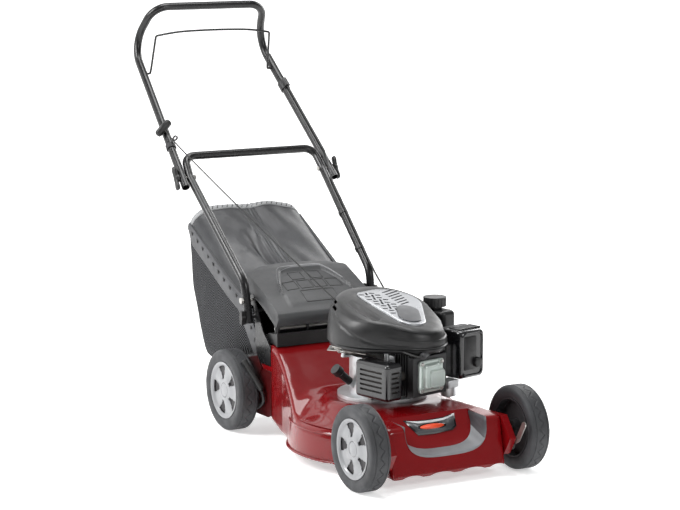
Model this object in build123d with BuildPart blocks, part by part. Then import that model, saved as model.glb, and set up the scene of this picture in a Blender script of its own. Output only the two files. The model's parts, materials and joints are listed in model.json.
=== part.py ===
from build123d import *
import os
from math import atan2, cos, degrees, hypot, radians, sin

# Push lawn mower: pressed steel deck, vertical-shaft engine, folding handle and rear grass bag.
# Millimetres, +Z up. The front of the mower faces -Y and the operator's right is -X.
# The origin is on the ground, under the middle of the mower's overall box.

os.makedirs("parts", exist_ok=True)

# ---------------------------------------------------------------- driving dimensions
WHEELBASE = 705
FRONT_AXLE_Y = -612.3
CRANK_AFT = 280            # crankshaft axis behind the front axle

FRONT_WHEEL_R = 105
FRONT_TYRE_W = 52
FRONT_TRACK_X = 224.5      # wheel centre from the mower's middle
REAR_WHEEL_R = 107.5
REAR_TYRE_W = 55
REAR_TRACK_X = 213.5
AXLE_R = 6
RUNNING_GAP = 0.05         # radial play of a shaft in its hole
CRANK_ARM = (20, 38)       # wheel stub from the axle bar: aft and up

SHEET = 2                  # pressed steel
BRACKET_SHEET = 3
CHAMBER_R = 241
LIP_R = 246
SKIRT_Z = 30
PLATE_Z = 156              # top of the deck, where the engine stands
NOSE_HALF = 160
TUNNEL_HALF = 168
BLADE_LENGTH = 460

ENGINE_TURN = 13           # engine turned on its flange, degrees
FLANGE_R = 115
CASE_R = 85
SHAFT_R = 12.5
SHROUD_Z = 300
HEAD_Z = 231               # cylinder axis height

TUBE_R = 11
TUBE_WALL = 1.5
BAIL_R = 3
BOLT_R = 4
LOWER_TUBE_X = 205         # lower handle tube at the folding joint
UPPER_TUBE_X = 228         # upper handle tube at the folding joint


def aft(distance):
    """Y of a point that is so far behind the front axle."""
    return FRONT_AXLE_Y + distance


CRANK_Y = aft(CRANK_AFT)
REAR_AXLE_Y = aft(WHEELBASE)
FRONT_STUB = (aft(0), FRONT_WHEEL_R)
REAR_STUB = (REAR_AXLE_Y, REAR_WHEEL_R)
FRONT_BAR = (FRONT_STUB[0] - CRANK_ARM[0], FRONT_STUB[1] - CRANK_ARM[1])
REAR_BAR = (REAR_STUB[0] - CRANK_ARM[0], REAR_STUB[1] - CRANK_ARM[1])
HANDLE_PIVOT = (aft(667), 350)
HANDLE_LOCK = (aft(659), 306)
FOLD_JOINT = (aft(967), 641)
BAIL_PIVOT = (aft(1262), 900)
FLAP_PIVOT = (aft(567), 288)

ENGINE = Plane(
    origin=(0, CRANK_Y, 0),
    x_dir=(cos(radians(ENGINE_TURN)), sin(radians(ENGINE_TURN)), 0),
    z_dir=(0, 0, 1),
)


def save(builder, name):
    """Label a finished piece and write it as a STEP file."""
    builder.part.label = name
    export_step(builder.part, f"parts/{name}.step")


def engine_point(x, y, z):
    """A point given in the engine's own axes, in the mower's frame."""
    return ENGINE.from_local_coords(Vector(x, y, z))


def engine_face(x, y, z):
    """A plane in the engine's axes that looks towards the cylinder head."""
    return Plane(origin=engine_point(x, y, z), x_dir=ENGINE.x_dir, z_dir=-ENGINE.y_dir)


def side_plane(x):
    """A plane at this X whose sketch axes are Y and Z."""
    return Plane.YZ.offset(x)


def tube(points, radii, outer, wall=0):
    """A round tube, or a rod where wall is 0, along straight runs joined by arcs."""
    with BuildPart() as made:
        with BuildLine() as path:
            FilletPolyline(*points, radius=radii)
        with BuildSketch(Plane(origin=path.line @ 0, z_dir=path.line % 0)):
            Circle(outer)
            if wall:
                Circle(outer - wall, mode=Mode.SUBTRACT)
        sweep(path=path.line)
    return made.part


def rod(start, end, radius):
    """A straight round rod between two points."""
    start, end = Vector(*start), Vector(*end)
    with BuildPart() as made:
        with BuildSketch(Plane(origin=start, z_dir=end - start)):
            Circle(radius)
        extrude(amount=(end - start).length)
    return made.part


def mirrored(points):
    """The points of one side's route, then the same points on the other side."""
    return points + [(-x, y, z) for x, y, z in reversed(points)]


# ---------------------------------------------------------------- deck


def chamber(inset):
    """The round cutting chamber, or the space in it when inset is the sheet's thickness."""
    floor = SKIRT_Z - (20 if inset else 0)
    with BuildPart() as form:
        with BuildSketch(Plane.XZ.offset(-CRANK_Y)):
            Polygon(
                (0, floor),
                (CHAMBER_R - inset, floor),
                (CHAMBER_R - 2 - inset, 96 - inset),
                (CHAMBER_R - 12 - inset, 110 - inset),
                (170 - inset, 146 - inset),
                (150 - inset, PLATE_Z - inset),
                (0, PLATE_Z - inset),
                align=None,
            )
        revolve(axis=Axis((0, CRANK_Y, 0), (0, 0, 1)))
    return form.part


def tunnel(inset):
    """The discharge tunnel that climbs from the chamber to the bag."""
    drop = 40 if inset else 0
    reach = 90 if inset else 0
    with BuildPart() as form:
        with BuildSketch(side_plane(0)):
            Polygon(
                (aft(300), SKIRT_Z - drop),
                (aft(500), SKIRT_Z + 2 - drop),
                (aft(572) + reach, 48 - drop),
                (aft(640) + reach, 190),
                (aft(600) + reach, 246 - inset),
                (aft(560), 247 - inset),
                (aft(478), 210 - 1.2 * inset),
                (aft(402), PLATE_Z - inset),
                (aft(300), PLATE_Z - inset),
                align=None,
            )
        extrude(amount=CHAMBER_R, both=True)
        with BuildSketch(Plane.XY.offset(-50)):
            Polygon(
                (-130 + inset, aft(299)),
                (130 - inset, aft(299)),
                (206 - inset, aft(400)),
                (TUNNEL_HALF - inset, aft(560)),
                (TUNNEL_HALF - inset, aft(760)),
                (-TUNNEL_HALF + inset, aft(760)),
                (-TUNNEL_HALF + inset, aft(560)),
                (-206 + inset, aft(400)),
                align=None,
            )
        extrude(amount=400, mode=Mode.INTERSECT)
    return form.part


def trough(grow):
    """The scoop in the nose that holds the grey bumper strip."""
    with BuildPart() as form:
        with BuildSketch(Plane.XZ.offset(-aft(75))) as mouth:
            Polygon(
                (-152, 175),
                (-136 - grow, 138 - grow),
                (-96 - grow, 108 - grow),
                (96 + grow, 108 - grow),
                (136 + grow, 138 - grow),
                (152, 175),
                align=None,
            )
            fillet(mouth.vertices().group_by(Axis.Y)[0], radius=26)
        extrude(amount=150)
        with BuildSketch(side_plane(0)):
            Polygon(
                (aft(-80), 100 - grow),
                (aft(20) + grow, 100 - grow),
                (aft(24) + grow, 108 - grow),
                (aft(78) + grow, 168 - grow),
                (aft(-80), 176),
                align=None,
            )
        extrude(amount=200, both=True, mode=Mode.INTERSECT)
    return form.part


def nose(inset):
    """The box in front of the chamber, between the front wheels."""
    drop = 20 if inset else 0
    with BuildPart() as form:
        with BuildSketch(side_plane(0)):
            Polygon(
                (aft(-44) + inset, 22 - drop),
                (aft(-18) + inset, 141 - inset),
                (aft(62), 146 - inset),
                (aft(130), PLATE_Z - inset),
                (aft(240), PLATE_Z - inset),
                (aft(240), 22 - drop),
                align=None,
            )
        extrude(amount=NOSE_HALF, both=True)
        with BuildSketch(Plane.XY.offset(-50)):
            Polygon(
                (-NOSE_HALF + inset, aft(-60)),
                (NOSE_HALF - inset, aft(-60)),
                (NOSE_HALF - inset, aft(70)),
                (108 - inset, aft(170)),
                (108 - inset, aft(240)),
                (-108 + inset, aft(240)),
                (-108 + inset, aft(170)),
                (-NOSE_HALF + inset, aft(70)),
                align=None,
            )
        extrude(amount=400, mode=Mode.INTERSECT)
        if not inset:
            with Locations(*[(x, aft(-40), -4) for x in (-92, -8, 76)]):
                Cylinder(34, 40, rotation=(90, 0, 0), mode=Mode.SUBTRACT)
        add(trough(inset), mode=Mode.SUBTRACT)
        if inset:
            add(chamber(0), mode=Mode.SUBTRACT)
    return form.part


with BuildPart() as deck_shell:
    add(chamber(0))
    add(tunnel(0))
    add(nose(0))
    with BuildSketch(Plane.XY.offset(SKIRT_Z)):
        with Locations((0, CRANK_Y)):
            Circle(LIP_R)
    extrude(amount=3)
    add(chamber(SHEET), mode=Mode.SUBTRACT)
    add(tunnel(SHEET), mode=Mode.SUBTRACT)
    add(nose(SHEET), mode=Mode.SUBTRACT)
    with Locations((0, CRANK_Y, PLATE_Z)):
        Cylinder(48, 20, mode=Mode.SUBTRACT)
    with Locations((0, *FRONT_BAR)):
        Cylinder(AXLE_R + 2, 2 * NOSE_HALF + 10, rotation=(0, 90, 0), mode=Mode.SUBTRACT)
save(deck_shell, "deck_shell")

with BuildPart() as front_bumper:
    add(trough(-0.2))
    add(trough(-3), mode=Mode.SUBTRACT)
    with Locations((0, aft(-60), 150)):
        Box(400, 60, 200, mode=Mode.SUBTRACT)
    with Locations((0, aft(56), 150)):
        Box(400, 60, 200, mode=Mode.SUBTRACT)
    with Locations((0, aft(0), 192)):
        Box(400, 200, 100, mode=Mode.SUBTRACT)
save(front_bumper, "front_bumper")


def bar_between(start, end, width):
    """Sketch a round-ended flat bar between two points of the sketch plane."""
    run = (end[0] - start[0], end[1] - start[1])
    with Locations(((start[0] + end[0]) / 2, (start[1] + end[1]) / 2)):
        SlotCenterToCenter(hypot(*run), width, rotation=degrees(atan2(run[1], run[0])))


def strap(points, width, x, thick):
    """A flat bar in the plane of the mower's side, from X to X + thick, through (Y, Z) points."""
    with BuildPart() as made:
        with BuildSketch(side_plane(x)):
            for start, end in zip(points, points[1:]):
                bar_between(start, end, width)
        extrude(amount=thick)
    return made.part


# ---------------------------------------------------------------- axles and height levers
FRONT_ARM_X = (186, 194)
REAR_ARM_X = (177, 184)
ARM_HUB_R = 12


def axle(bar, stub, arm_x, stub_end):
    """A bent axle: a bar across the mower, a crank arm at each end and the wheel stubs."""
    inner, outer = arm_x
    length = outer - inner
    with BuildPart() as made:
        with BuildSketch(side_plane(-outer)):
            with Locations(bar):
                Circle(AXLE_R)
        extrude(amount=2 * outer)
        for start in (inner, -outer):
            with BuildSketch(side_plane(start)):
                bar_between(bar, stub, 2 * ARM_HUB_R)
            extrude(amount=length)
        for start, reach in ((outer, stub_end - outer), (-outer, outer - stub_end)):
            with BuildSketch(side_plane(start)):
                with Locations(stub):
                    Circle(AXLE_R)
            extrude(amount=reach)
    return made.part


with BuildPart() as front_axle:
    add(axle(FRONT_BAR, FRONT_STUB, FRONT_ARM_X, FRONT_TRACK_X + FRONT_TYRE_W / 2 - 10))
save(front_axle, "front_axle")

with BuildPart() as rear_axle:
    add(axle(REAR_BAR, REAR_STUB, REAR_ARM_X, REAR_TRACK_X + REAR_TYRE_W / 2 - 10))
save(rear_axle, "rear_axle")

LEVER_PATH = [REAR_BAR, (aft(619), 92), (aft(626), 132), (aft(703), 177)]
LEVER_X = -176
FRONT_LEVER_PATH = [FRONT_BAR, (aft(-64), 92), (aft(-88), 132)]
FRONT_LEVER_X = 180
LEVER_SHEET = 3
LEVER_WIDTH = 15


def height_lever(path, bar, x):
    """A height lever: a steel strap with an eye that fits its axle's bar."""
    with BuildPart() as made:
        add(strap(path, LEVER_WIDTH, x, LEVER_SHEET))
        with BuildSketch(side_plane(x)):
            with Locations(bar):
                Circle(ARM_HUB_R)
        extrude(amount=LEVER_SHEET)
        with BuildSketch(side_plane(x - 1)):
            with Locations(bar):
                Circle(AXLE_R + RUNNING_GAP)
        extrude(amount=LEVER_SHEET + 2, mode=Mode.SUBTRACT)
    return made.part


def lever_sleeve(path, x):
    """The rubber sleeve over the last run of a height lever."""
    (y0, z0), (y1, z1) = path[-2:]
    start = (y0 + 0.22 * (y1 - y0), z0 + 0.22 * (z1 - z0))
    end = (y1 + 0.05 * (y1 - y0), z1 + 0.05 * (z1 - z0))
    with BuildPart() as made:
        add(strap([start, end], LEVER_WIDTH + 5, x - 2, LEVER_SHEET + 4))
        add(strap(path, LEVER_WIDTH, x, LEVER_SHEET), mode=Mode.SUBTRACT)
    return made.part


with BuildPart() as rear_height_lever:
    add(height_lever(LEVER_PATH, REAR_BAR, LEVER_X))
save(rear_height_lever, "rear_height_lever")

with BuildPart() as front_height_lever:
    add(height_lever(FRONT_LEVER_PATH, FRONT_BAR, FRONT_LEVER_X))
save(front_height_lever, "front_height_lever")

with BuildPart() as rear_lever_sleeve:
    add(lever_sleeve(LEVER_PATH, LEVER_X))
save(rear_lever_sleeve, "rear_lever_sleeve")

# Brackets of the front axle: flanged plates on the sides of the nose.
FRONT_BRACKET = [
    (aft(75), 138), (aft(-18), 144), (aft(-60), 92), (aft(-34), 50), (aft(30), 50), (aft(75), 90),
]
with BuildPart() as front_axle_brackets:
    for side in (-1, 1):
        with BuildSketch(side_plane(side * NOSE_HALF)):
            Polygon(*FRONT_BRACKET, align=None)
        extrude(amount=side * 18)
        with BuildSketch(side_plane(side * (NOSE_HALF + 3))):
            Polygon(*FRONT_BRACKET, align=None)
            offset(amount=-2.5)
            with Locations((aft(40), 66)):
                Rectangle(140, 60)
        extrude(amount=side * 20, mode=Mode.SUBTRACT)
    with Locations((0, *FRONT_BAR)):
        Cylinder(AXLE_R + RUNNING_GAP, 400, rotation=(0, 90, 0), mode=Mode.SUBTRACT)
save(front_axle_brackets, "front_axle_brackets")

# Brackets of the rear axle: plates on the sides of the tunnel that reach back to the axle bar.
REAR_BRACKET = [
    (aft(562), 60), (aft(580), 52), (aft(680), 50), (aft(702), 62), (aft(702), 84), (aft(660), 110),
    (aft(612), 176), (aft(562), 176),
]
# Notched sector that the rear height lever clicks into.
SECTOR_R = (44, 70)
SECTOR_ANGLES = (98, 132, 166)


def around_bar(radius, angle):
    """A point of the side plane at this radius and angle from the rear axle bar."""
    return (REAR_BAR[0] + radius * cos(radians(angle)), REAR_BAR[1] + radius * sin(radians(angle)))


with BuildPart() as height_sector:
    with BuildSketch(side_plane(-TUNNEL_HALF - BRACKET_SHEET - 1.6)):
        with Locations(REAR_BAR):
            Circle(SECTOR_R[1])
            Circle(SECTOR_R[0], mode=Mode.SUBTRACT)
        Polygon(
            REAR_BAR, *(around_bar(150, angle) for angle in SECTOR_ANGLES),
            align=None, mode=Mode.INTERSECT,
        )
        with Locations(*(around_bar(SECTOR_R[1], angle) for angle in range(104, 165, 14))):
            Circle(3, mode=Mode.SUBTRACT)
    extrude(amount=1.6)

with BuildPart() as rear_axle_brackets:
    for side in (-1, 1):
        with BuildSketch(side_plane(side * TUNNEL_HALF)):
            Polygon(*REAR_BRACKET, align=None)
        extrude(amount=side * BRACKET_SHEET)
    add(height_sector.part)
    with Locations((0, *REAR_BAR)):
        Cylinder(AXLE_R + RUNNING_GAP, 400, rotation=(0, 90, 0), mode=Mode.SUBTRACT)
save(rear_axle_brackets, "rear_axle_brackets")


# ---------------------------------------------------------------- wheels


def rim(centre, radius, width, side):
    """A moulded wheel with five broad spokes near its outer face and a blind axle bore."""
    x, y, z = centre
    rim_r = 0.70 * radius
    ring_wall = 7
    hub_r = 17
    web = 7
    face = x + side * (width / 2 - 4)
    with BuildPart() as made:
        with BuildSketch(side_plane(x - side * (width / 2 - 4))):
            with Locations((y, z)):
                Circle(rim_r)
                Circle(rim_r - ring_wall, mode=Mode.SUBTRACT)
                Circle(hub_r)
        extrude(amount=side * (width - 8))
        with BuildSketch(side_plane(face - side * web)):
            with Locations((y, z)):
                Circle(rim_r - ring_wall / 2)
        extrude(amount=side * web)
        with BuildSketch(side_plane(face)):
            with Locations((y, z)):
                with PolarLocations(0.62 * (rim_r - ring_wall), 5, start_angle=90):
                    Trapezoid(20, 22, 98, rotation=90)
        extrude(amount=-side * (web + 1), mode=Mode.SUBTRACT)
        with BuildSketch(side_plane(face)):
            with Locations((y, z)):
                Circle(hub_r + 4)
        extrude(amount=side * 3, taper=30)
        with BuildSketch(side_plane(x - side * width / 2)):
            with Locations((y, z)):
                Circle(AXLE_R + RUNNING_GAP)
        extrude(amount=side * (width - 9), mode=Mode.SUBTRACT)
    return made.part


def tyre(centre, radius, width):
    """A ribbed tyre around the rim."""
    x, y, z = centre
    bead = 0.70 * radius
    shoulder = 5
    half = width / 2
    groove = 2
    with BuildPart() as made:
        with BuildSketch(Plane.XZ.offset(-y)):
            Polygon(
                (x - half + 2, z + bead),
                (x - half, z + bead + 6),
                (x - half, z + radius - shoulder),
                (x - half + shoulder, z + radius - 1),
                (x - groove, z + radius),
                (x - groove, z + radius - groove),
                (x + groove, z + radius - groove),
                (x + groove, z + radius),
                (x + half - shoulder, z + radius - 1),
                (x + half, z + radius - shoulder),
                (x + half, z + bead + 6),
                (x + half - 2, z + bead),
                align=None,
            )
        revolve(axis=Axis((0, y, z), (1, 0, 0)))
    return made.part


WHEELS = {
    "front_right": ((-FRONT_TRACK_X, *FRONT_STUB), FRONT_WHEEL_R, FRONT_TYRE_W, -1),
    "front_left": ((FRONT_TRACK_X, *FRONT_STUB), FRONT_WHEEL_R, FRONT_TYRE_W, 1),
    "rear_right": ((-REAR_TRACK_X, *REAR_STUB), REAR_WHEEL_R, REAR_TYRE_W, -1),
    "rear_left": ((REAR_TRACK_X, *REAR_STUB), REAR_WHEEL_R, REAR_TYRE_W, 1),
}
for corner, (centre, radius, width, side) in WHEELS.items():
    with BuildPart() as wheel_rim:
        add(rim(centre, radius, width, side))
    save(wheel_rim, f"{corner}_rim")
    with BuildPart() as wheel_tyre:
        add(tyre(centre, radius, width))
    save(wheel_tyre, f"{corner}_tyre")


# ---------------------------------------------------------------- handle


def cross_hole(point, x, length, radius):
    """Drill across the mower at this (Y, Z) point, centred on X."""
    with Locations((x, *point)):
        Cylinder(radius, length, rotation=(0, 90, 0), mode=Mode.SUBTRACT)


LOWER_ROUTE = [
    (186, aft(656), 290),
    (189, aft(677), 399),
    (LOWER_TUBE_X, aft(967), 641),
    (199, aft(1014), 693.4),
]
UPPER_ROUTE = [
    (229.5, aft(941), 618),
    (199, aft(1345), 974),
    (172, aft(1260), 1085.8),
]

with BuildPart() as lower_handle:
    add(tube(mirrored(LOWER_ROUTE), [60, 60, 32, 32, 60, 60], TUBE_R, TUBE_WALL))
    for side in (-1, 1):
        cross_hole(HANDLE_PIVOT, side * 188, 30, BOLT_R + 0.1)
        cross_hole(HANDLE_LOCK, side * 187, 40, BOLT_R + RUNNING_GAP)
        cross_hole(FOLD_JOINT, side * LOWER_TUBE_X, 24, BOLT_R + RUNNING_GAP)
save(lower_handle, "lower_handle")

with BuildPart() as upper_handle:
    add(tube(mirrored(UPPER_ROUTE), [75, 55, 55, 75], TUBE_R, TUBE_WALL))
    for side in (-1, 1):
        cross_hole(FOLD_JOINT, side * UPPER_TUBE_X, 24.5, BOLT_R + 0.1)
        cross_hole(BAIL_PIVOT, side * 200, 30, BAIL_R + RUNNING_GAP)
save(upper_handle, "upper_handle")

BAIL_ROUTE = [
    (207, *BAIL_PIVOT),
    (184, *BAIL_PIVOT),
    (178, aft(1235), 1009.8),
]
with BuildPart() as bail:
    add(tube(mirrored(BAIL_ROUTE), [8, 16, 16, 8], BAIL_R))
save(bail, "bail")

# Steel brackets that carry the handle on the sides of the discharge tunnel.
HANDLE_BRACKET = [
    (aft(566), 190), (aft(634), 190), (aft(650), 230), (aft(652), 300), (aft(653), 318), (aft(661), 338),
    (aft(656), 352), (aft(608), 276), (aft(566), 240),
]
with BuildPart() as handle_brackets:
    for side in (-1, 1):
        with BuildSketch(side_plane(side * TUNNEL_HALF)):
            Polygon(*HANDLE_BRACKET, align=None)
            with Locations(HANDLE_PIVOT):
                Circle(15)
                Circle(BOLT_R + RUNNING_GAP, mode=Mode.SUBTRACT)
        extrude(amount=side * BRACKET_SHEET)
save(handle_brackets, "handle_brackets")


def bolt(point, start, end, head_end, head_r=7, head=3.2, radius=BOLT_R):
    """A bolt across the mower from X start to X end, with its head beyond head_end."""
    step = 1 if end > start else -1
    with BuildPart() as made:
        with BuildSketch(side_plane(start)):
            with Locations(point):
                Circle(radius)
        extrude(amount=end - start)
        with BuildSketch(side_plane(head_end)):
            with Locations(point):
                RegularPolygon(head_r, 6)
        extrude(amount=-step * head)
    return made.part


with BuildPart() as pivot_bolts:
    for side in (-1, 1):
        add(bolt(HANDLE_PIVOT, side * 167, side * 203, side * (TUNNEL_HALF - 0.1)))
        with BuildSketch(side_plane(side * 199.5)):
            with Locations(HANDLE_PIVOT):
                Circle(8)
        extrude(amount=side * 6)
save(pivot_bolts, "pivot_bolts")

with BuildPart() as lock_knobs:
    for side in (-1, 1):
        add(bolt(HANDLE_LOCK, side * 166, side * 200, side * (TUNNEL_HALF - 0.6)))
        with BuildSketch(side_plane(side * 198.6)):
            with Locations(HANDLE_LOCK):
                Circle(9)
                Rectangle(13, 34)
        extrude(amount=side * 11)
save(lock_knobs, "lock_knobs")

with BuildPart() as fold_bolts:
    for side in (-1, 1):
        add(bolt(FOLD_JOINT, side * 192, side * 250, side * 192.4))
save(fold_bolts, "fold_bolts")

for side, name in ((-1, "wing_knob_right"), (1, "wing_knob_left")):
    with BuildPart() as wing_knob:
        with BuildSketch(side_plane(side * 239.6)):
            with Locations(FOLD_JOINT):
                Circle(11)
                Circle(BOLT_R + RUNNING_GAP, mode=Mode.SUBTRACT)
        extrude(amount=side * 12)
        with BuildSketch(side_plane(side * 244)):
            with Locations(FOLD_JOINT):
                SlotOverall(46, 10, rotation=70)
                Circle(10, mode=Mode.SUBTRACT)
        extrude(amount=side * 8)
    save(wing_knob, name)


def along(start, end, share):
    """The point at this share of the way from start to end."""
    return Vector(*start) + (Vector(*end) - Vector(*start)) * share


def tube_plane(start, end, share):
    """A plane across a tube's run, at this share of it."""
    return Plane(origin=along(start, end, share), z_dir=Vector(*end) - Vector(*start))


def clamp_ring(start, end, share, length, wall=3):
    """A ring that fits round a handle tube."""
    with BuildPart() as made:
        with BuildSketch(tube_plane(start, end, share)):
            Circle(TUBE_R + wall)
            Circle(TUBE_R + RUNNING_GAP, mode=Mode.SUBTRACT)
        extrude(amount=length / 2, both=True)
    return made.part


LOWER_LEFT = (LOWER_ROUTE[1], LOWER_ROUTE[2])
UPPER_LEFT = (UPPER_ROUTE[0], UPPER_ROUTE[1])
UPPER_RIGHT = tuple((-x, y, z) for x, y, z in UPPER_LEFT)
CABLE_R = 2.5
ROPE_R = 1.8
ROPE_GUIDE = (-212, aft(1044), 741)
CABLE_BRACKET_SHARE = 0.655
CLIP_SHARES = (0.55, 0.2)

with BuildPart() as rope_guide:
    add(clamp_ring(*UPPER_RIGHT, 0.275, 14))
    with BuildSketch(Plane(origin=ROPE_GUIDE, z_dir=(-0.17, 0.87, 0.42))):
        Circle(8)
        Circle(5, mode=Mode.SUBTRACT)
    extrude(amount=2, both=True)
    add(rod((-215, aft(1049.5), 735.3), (-219.5, aft(1049), 727), 2))
    add(rod(*UPPER_RIGHT, TUBE_R + RUNNING_GAP), mode=Mode.SUBTRACT)
save(rope_guide, "rope_guide")

CABLE_ROUTE = [
    (180, aft(1237), 943), (209, aft(1200), 868), (225, aft(994), 687), (202, aft(909), 615),
    (198, aft(825), 545), (191, aft(704), 444), (186, aft(640), 395), (176, aft(560), 352),
    (150, aft(480), 310), (110, aft(430), 290), (92, aft(410), 276),
]


def cable(radius):
    """The brake cable's outer sheath, along its clips from the bail to the engine."""
    return tube(CABLE_ROUTE, (30,) * (len(CABLE_ROUTE) - 2), radius)


with BuildPart() as cable_bracket:
    add(clamp_ring(*UPPER_LEFT, CABLE_BRACKET_SHARE, 26))
    with BuildSketch(tube_plane(*UPPER_LEFT, CABLE_BRACKET_SHARE)):
        with Locations((17, 0)):
            Circle(CABLE_R + 5)
    extrude(amount=13, both=True)
    add(rod(*UPPER_LEFT, TUBE_R + RUNNING_GAP), mode=Mode.SUBTRACT)
    add(cable(CABLE_R + 0.4), mode=Mode.SUBTRACT)
save(cable_bracket, "cable_bracket")

with BuildPart() as cable_clips:
    for share in CLIP_SHARES:
        add(clamp_ring(*LOWER_LEFT, share, 10, wall=2))
save(cable_clips, "cable_clips")


# ---------------------------------------------------------------- engine


def engine_box(x, y, z, width, depth, height):
    """A box centred on a point of the engine's axes, square to them."""
    with BuildPart() as made:
        with BuildSketch(ENGINE.offset(z - height / 2)):
            with Locations((x, y)):
                Rectangle(width, depth)
        extrude(amount=height)
    return made.part


def box_span(x, y, z, grow=0):
    """A box between limits of the engine's axes, grown on every side."""
    return engine_box(
        (x[0] + x[1]) / 2, (y[0] + y[1]) / 2, (z[0] + z[1]) / 2,
        x[1] - x[0] + 2 * grow, y[1] - y[0] + 2 * grow, z[1] - z[0] + 2 * grow,
    )


def engine_disc(radius, low, high, bore=0, x=0, y=0):
    """A disc between two heights of the engine's axes."""
    with BuildPart() as made:
        with BuildSketch(ENGINE.offset(low)):
            with Locations((x, y)):
                Circle(radius)
                if bore:
                    Circle(bore, mode=Mode.SUBTRACT)
        extrude(amount=high - low)
    return made.part


LUG_ANGLES = (30, 150, 232)
LUG_R = 101


def around_shaft(radius, angle):
    """The X and Y, in the engine's axes, at this radius and angle from the crankshaft."""
    return (radius * cos(radians(angle)), radius * sin(radians(angle)))


FILLER_FOOT = engine_point(-CASE_R + 2, 22, 190)
FILLER_TOP = engine_point(-122, 28, 224)
FILLER_OUT = (FILLER_TOP - FILLER_FOOT).normalized()
with BuildPart() as crankcase:
    add(engine_disc(FLANGE_R, PLATE_Z, PLATE_Z + 9))
    add(engine_disc(CASE_R, PLATE_Z, 262))
    add(engine_box(0, -80, HEAD_Z, 96, 36, 84))
    for angle in LUG_ANGLES:
        with BuildSketch(ENGINE.offset(256)):
            bar_between(around_shaft(60, angle), around_shaft(LUG_R, angle), 14)
        extrude(amount=6)
        x, y = around_shaft(LUG_R, angle)
        add(engine_disc(6, 262, SHROUD_Z - 0.1, x=x, y=y))
    with BuildSketch(ENGINE.offset(PLATE_Z - 1)):
        with PolarLocations(FLANGE_R - 9, 3, start_angle=90):
            Circle(BOLT_R + RUNNING_GAP)
    extrude(amount=12, mode=Mode.SUBTRACT)
    with BuildSketch(ENGINE.offset(166)):
        Circle(CASE_R - 6)
    extrude(amount=86, mode=Mode.SUBTRACT)
    with BuildSketch(ENGINE.offset(PLATE_Z - 1)):
        Circle(SHAFT_R + RUNNING_GAP)
    extrude(amount=120, mode=Mode.SUBTRACT)
    add(rod(FILLER_FOOT - FILLER_OUT * 2, FILLER_TOP, 9))
    add(rod(FILLER_FOOT - FILLER_OUT * 12, FILLER_TOP + FILLER_OUT, 6.5), mode=Mode.SUBTRACT)
save(crankcase, "crankcase")

FIN_COUNT = 6
FIN_PITCH = 9
BLOCK_FRONT = -152
with BuildPart() as cylinder:
    add(engine_box(0, (BLOCK_FRONT - 98) / 2, HEAD_Z, 78, -98 - BLOCK_FRONT, 84))
    for n in range(FIN_COUNT):
        add(engine_box(0, -101 - FIN_PITCH * n, HEAD_Z, 106, 3, 106))
    add(engine_box(0, BLOCK_FRONT - 8, HEAD_Z, 114, 16, 98))
save(cylinder, "cylinder")

COVER_BACK = BLOCK_FRONT - 16
with BuildPart() as valve_cover:
    with BuildSketch(engine_face(0, COVER_BACK, HEAD_Z)):
        RectangleRounded(78, 78, 8)
    extrude(amount=5)
    with BuildSketch(engine_face(0, COVER_BACK - 5, HEAD_Z)):
        RectangleRounded(62, 66, 10)
    extrude(amount=10, taper=8)
    with BuildSketch(engine_face(6, COVER_BACK - 15, HEAD_Z - 2)):
        RectangleRounded(34, 40, 4)
    extrude(amount=4, taper=10)
    with BuildSketch(engine_face(0, COVER_BACK, HEAD_Z)):
        with GridLocations(66, 66, 2, 2):
            Circle(3.05)
    extrude(amount=20, mode=Mode.SUBTRACT)
save(valve_cover, "valve_cover")

# The engine's bolts: four hold the valve cover and three hold the crankcase to the deck.
with BuildPart() as engine_bolts:
    with BuildSketch(engine_face(0, COVER_BACK - 0.1, HEAD_Z)):
        with GridLocations(66, 66, 2, 2):
            Circle(3)
    extrude(amount=5)
    with BuildSketch(engine_face(0, COVER_BACK - 5, HEAD_Z)):
        with GridLocations(66, 66, 2, 2):
            RegularPolygon(5.5, 6)
    extrude(amount=4)
    for angle in (90, 210, 330):
        x, y = around_shaft(FLANGE_R - 9, angle)
        add(engine_disc(BOLT_R, PLATE_Z + 0.1, PLATE_Z + 9, x=x, y=y))
        with BuildSketch(ENGINE.offset(PLATE_Z + 9)):
            with Locations((x, y)):
                RegularPolygon(7.5, 6)
        extrude(amount=5)
save(engine_bolts, "engine_bolts")

with BuildPart() as spark_plug:
    with BuildSketch(engine_face(-49, COVER_BACK, HEAD_Z + 30)):
        Circle(5)
    extrude(amount=6)
    with BuildSketch(engine_face(-49, COVER_BACK - 6, HEAD_Z + 30)):
        Circle(8)
    extrude(amount=24, taper=3)
save(spark_plug, "spark_plug")

# Exhaust: the muffler on the cylinder's right side, inside a slotted guard.
GUARD_X = (-136, -82)
GUARD_Y = (-160, -42)
GUARD_Z = (180, 272)
GUARD_WALL = 1.5


def rounded_span(x, y, z, radius, grow=0):
    """A box between limits of the engine's axes with every edge rounded."""
    with BuildPart() as made:
        add(box_span(x, y, z, grow))
        fillet(made.edges(), radius=radius)
    return made.part


with BuildPart() as muffler_guard:
    add(rounded_span(GUARD_X, GUARD_Y, GUARD_Z, 10))
    add(rounded_span((GUARD_X[0], GUARD_X[1] + 30), GUARD_Y, GUARD_Z, 8.5, -GUARD_WALL), mode=Mode.SUBTRACT)
    for row in range(5):
        z = GUARD_Z[0] + 22 + 12 * row
        add(engine_box(GUARD_X[0], (GUARD_Y[0] + GUARD_Y[1]) / 2, z, 8, 78, 5), mode=Mode.SUBTRACT)
        add(engine_box((GUARD_X[0] + GUARD_X[1]) / 2, GUARD_Y[0], z, 26, 8, 5), mode=Mode.SUBTRACT)
save(muffler_guard, "muffler_guard")

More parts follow.
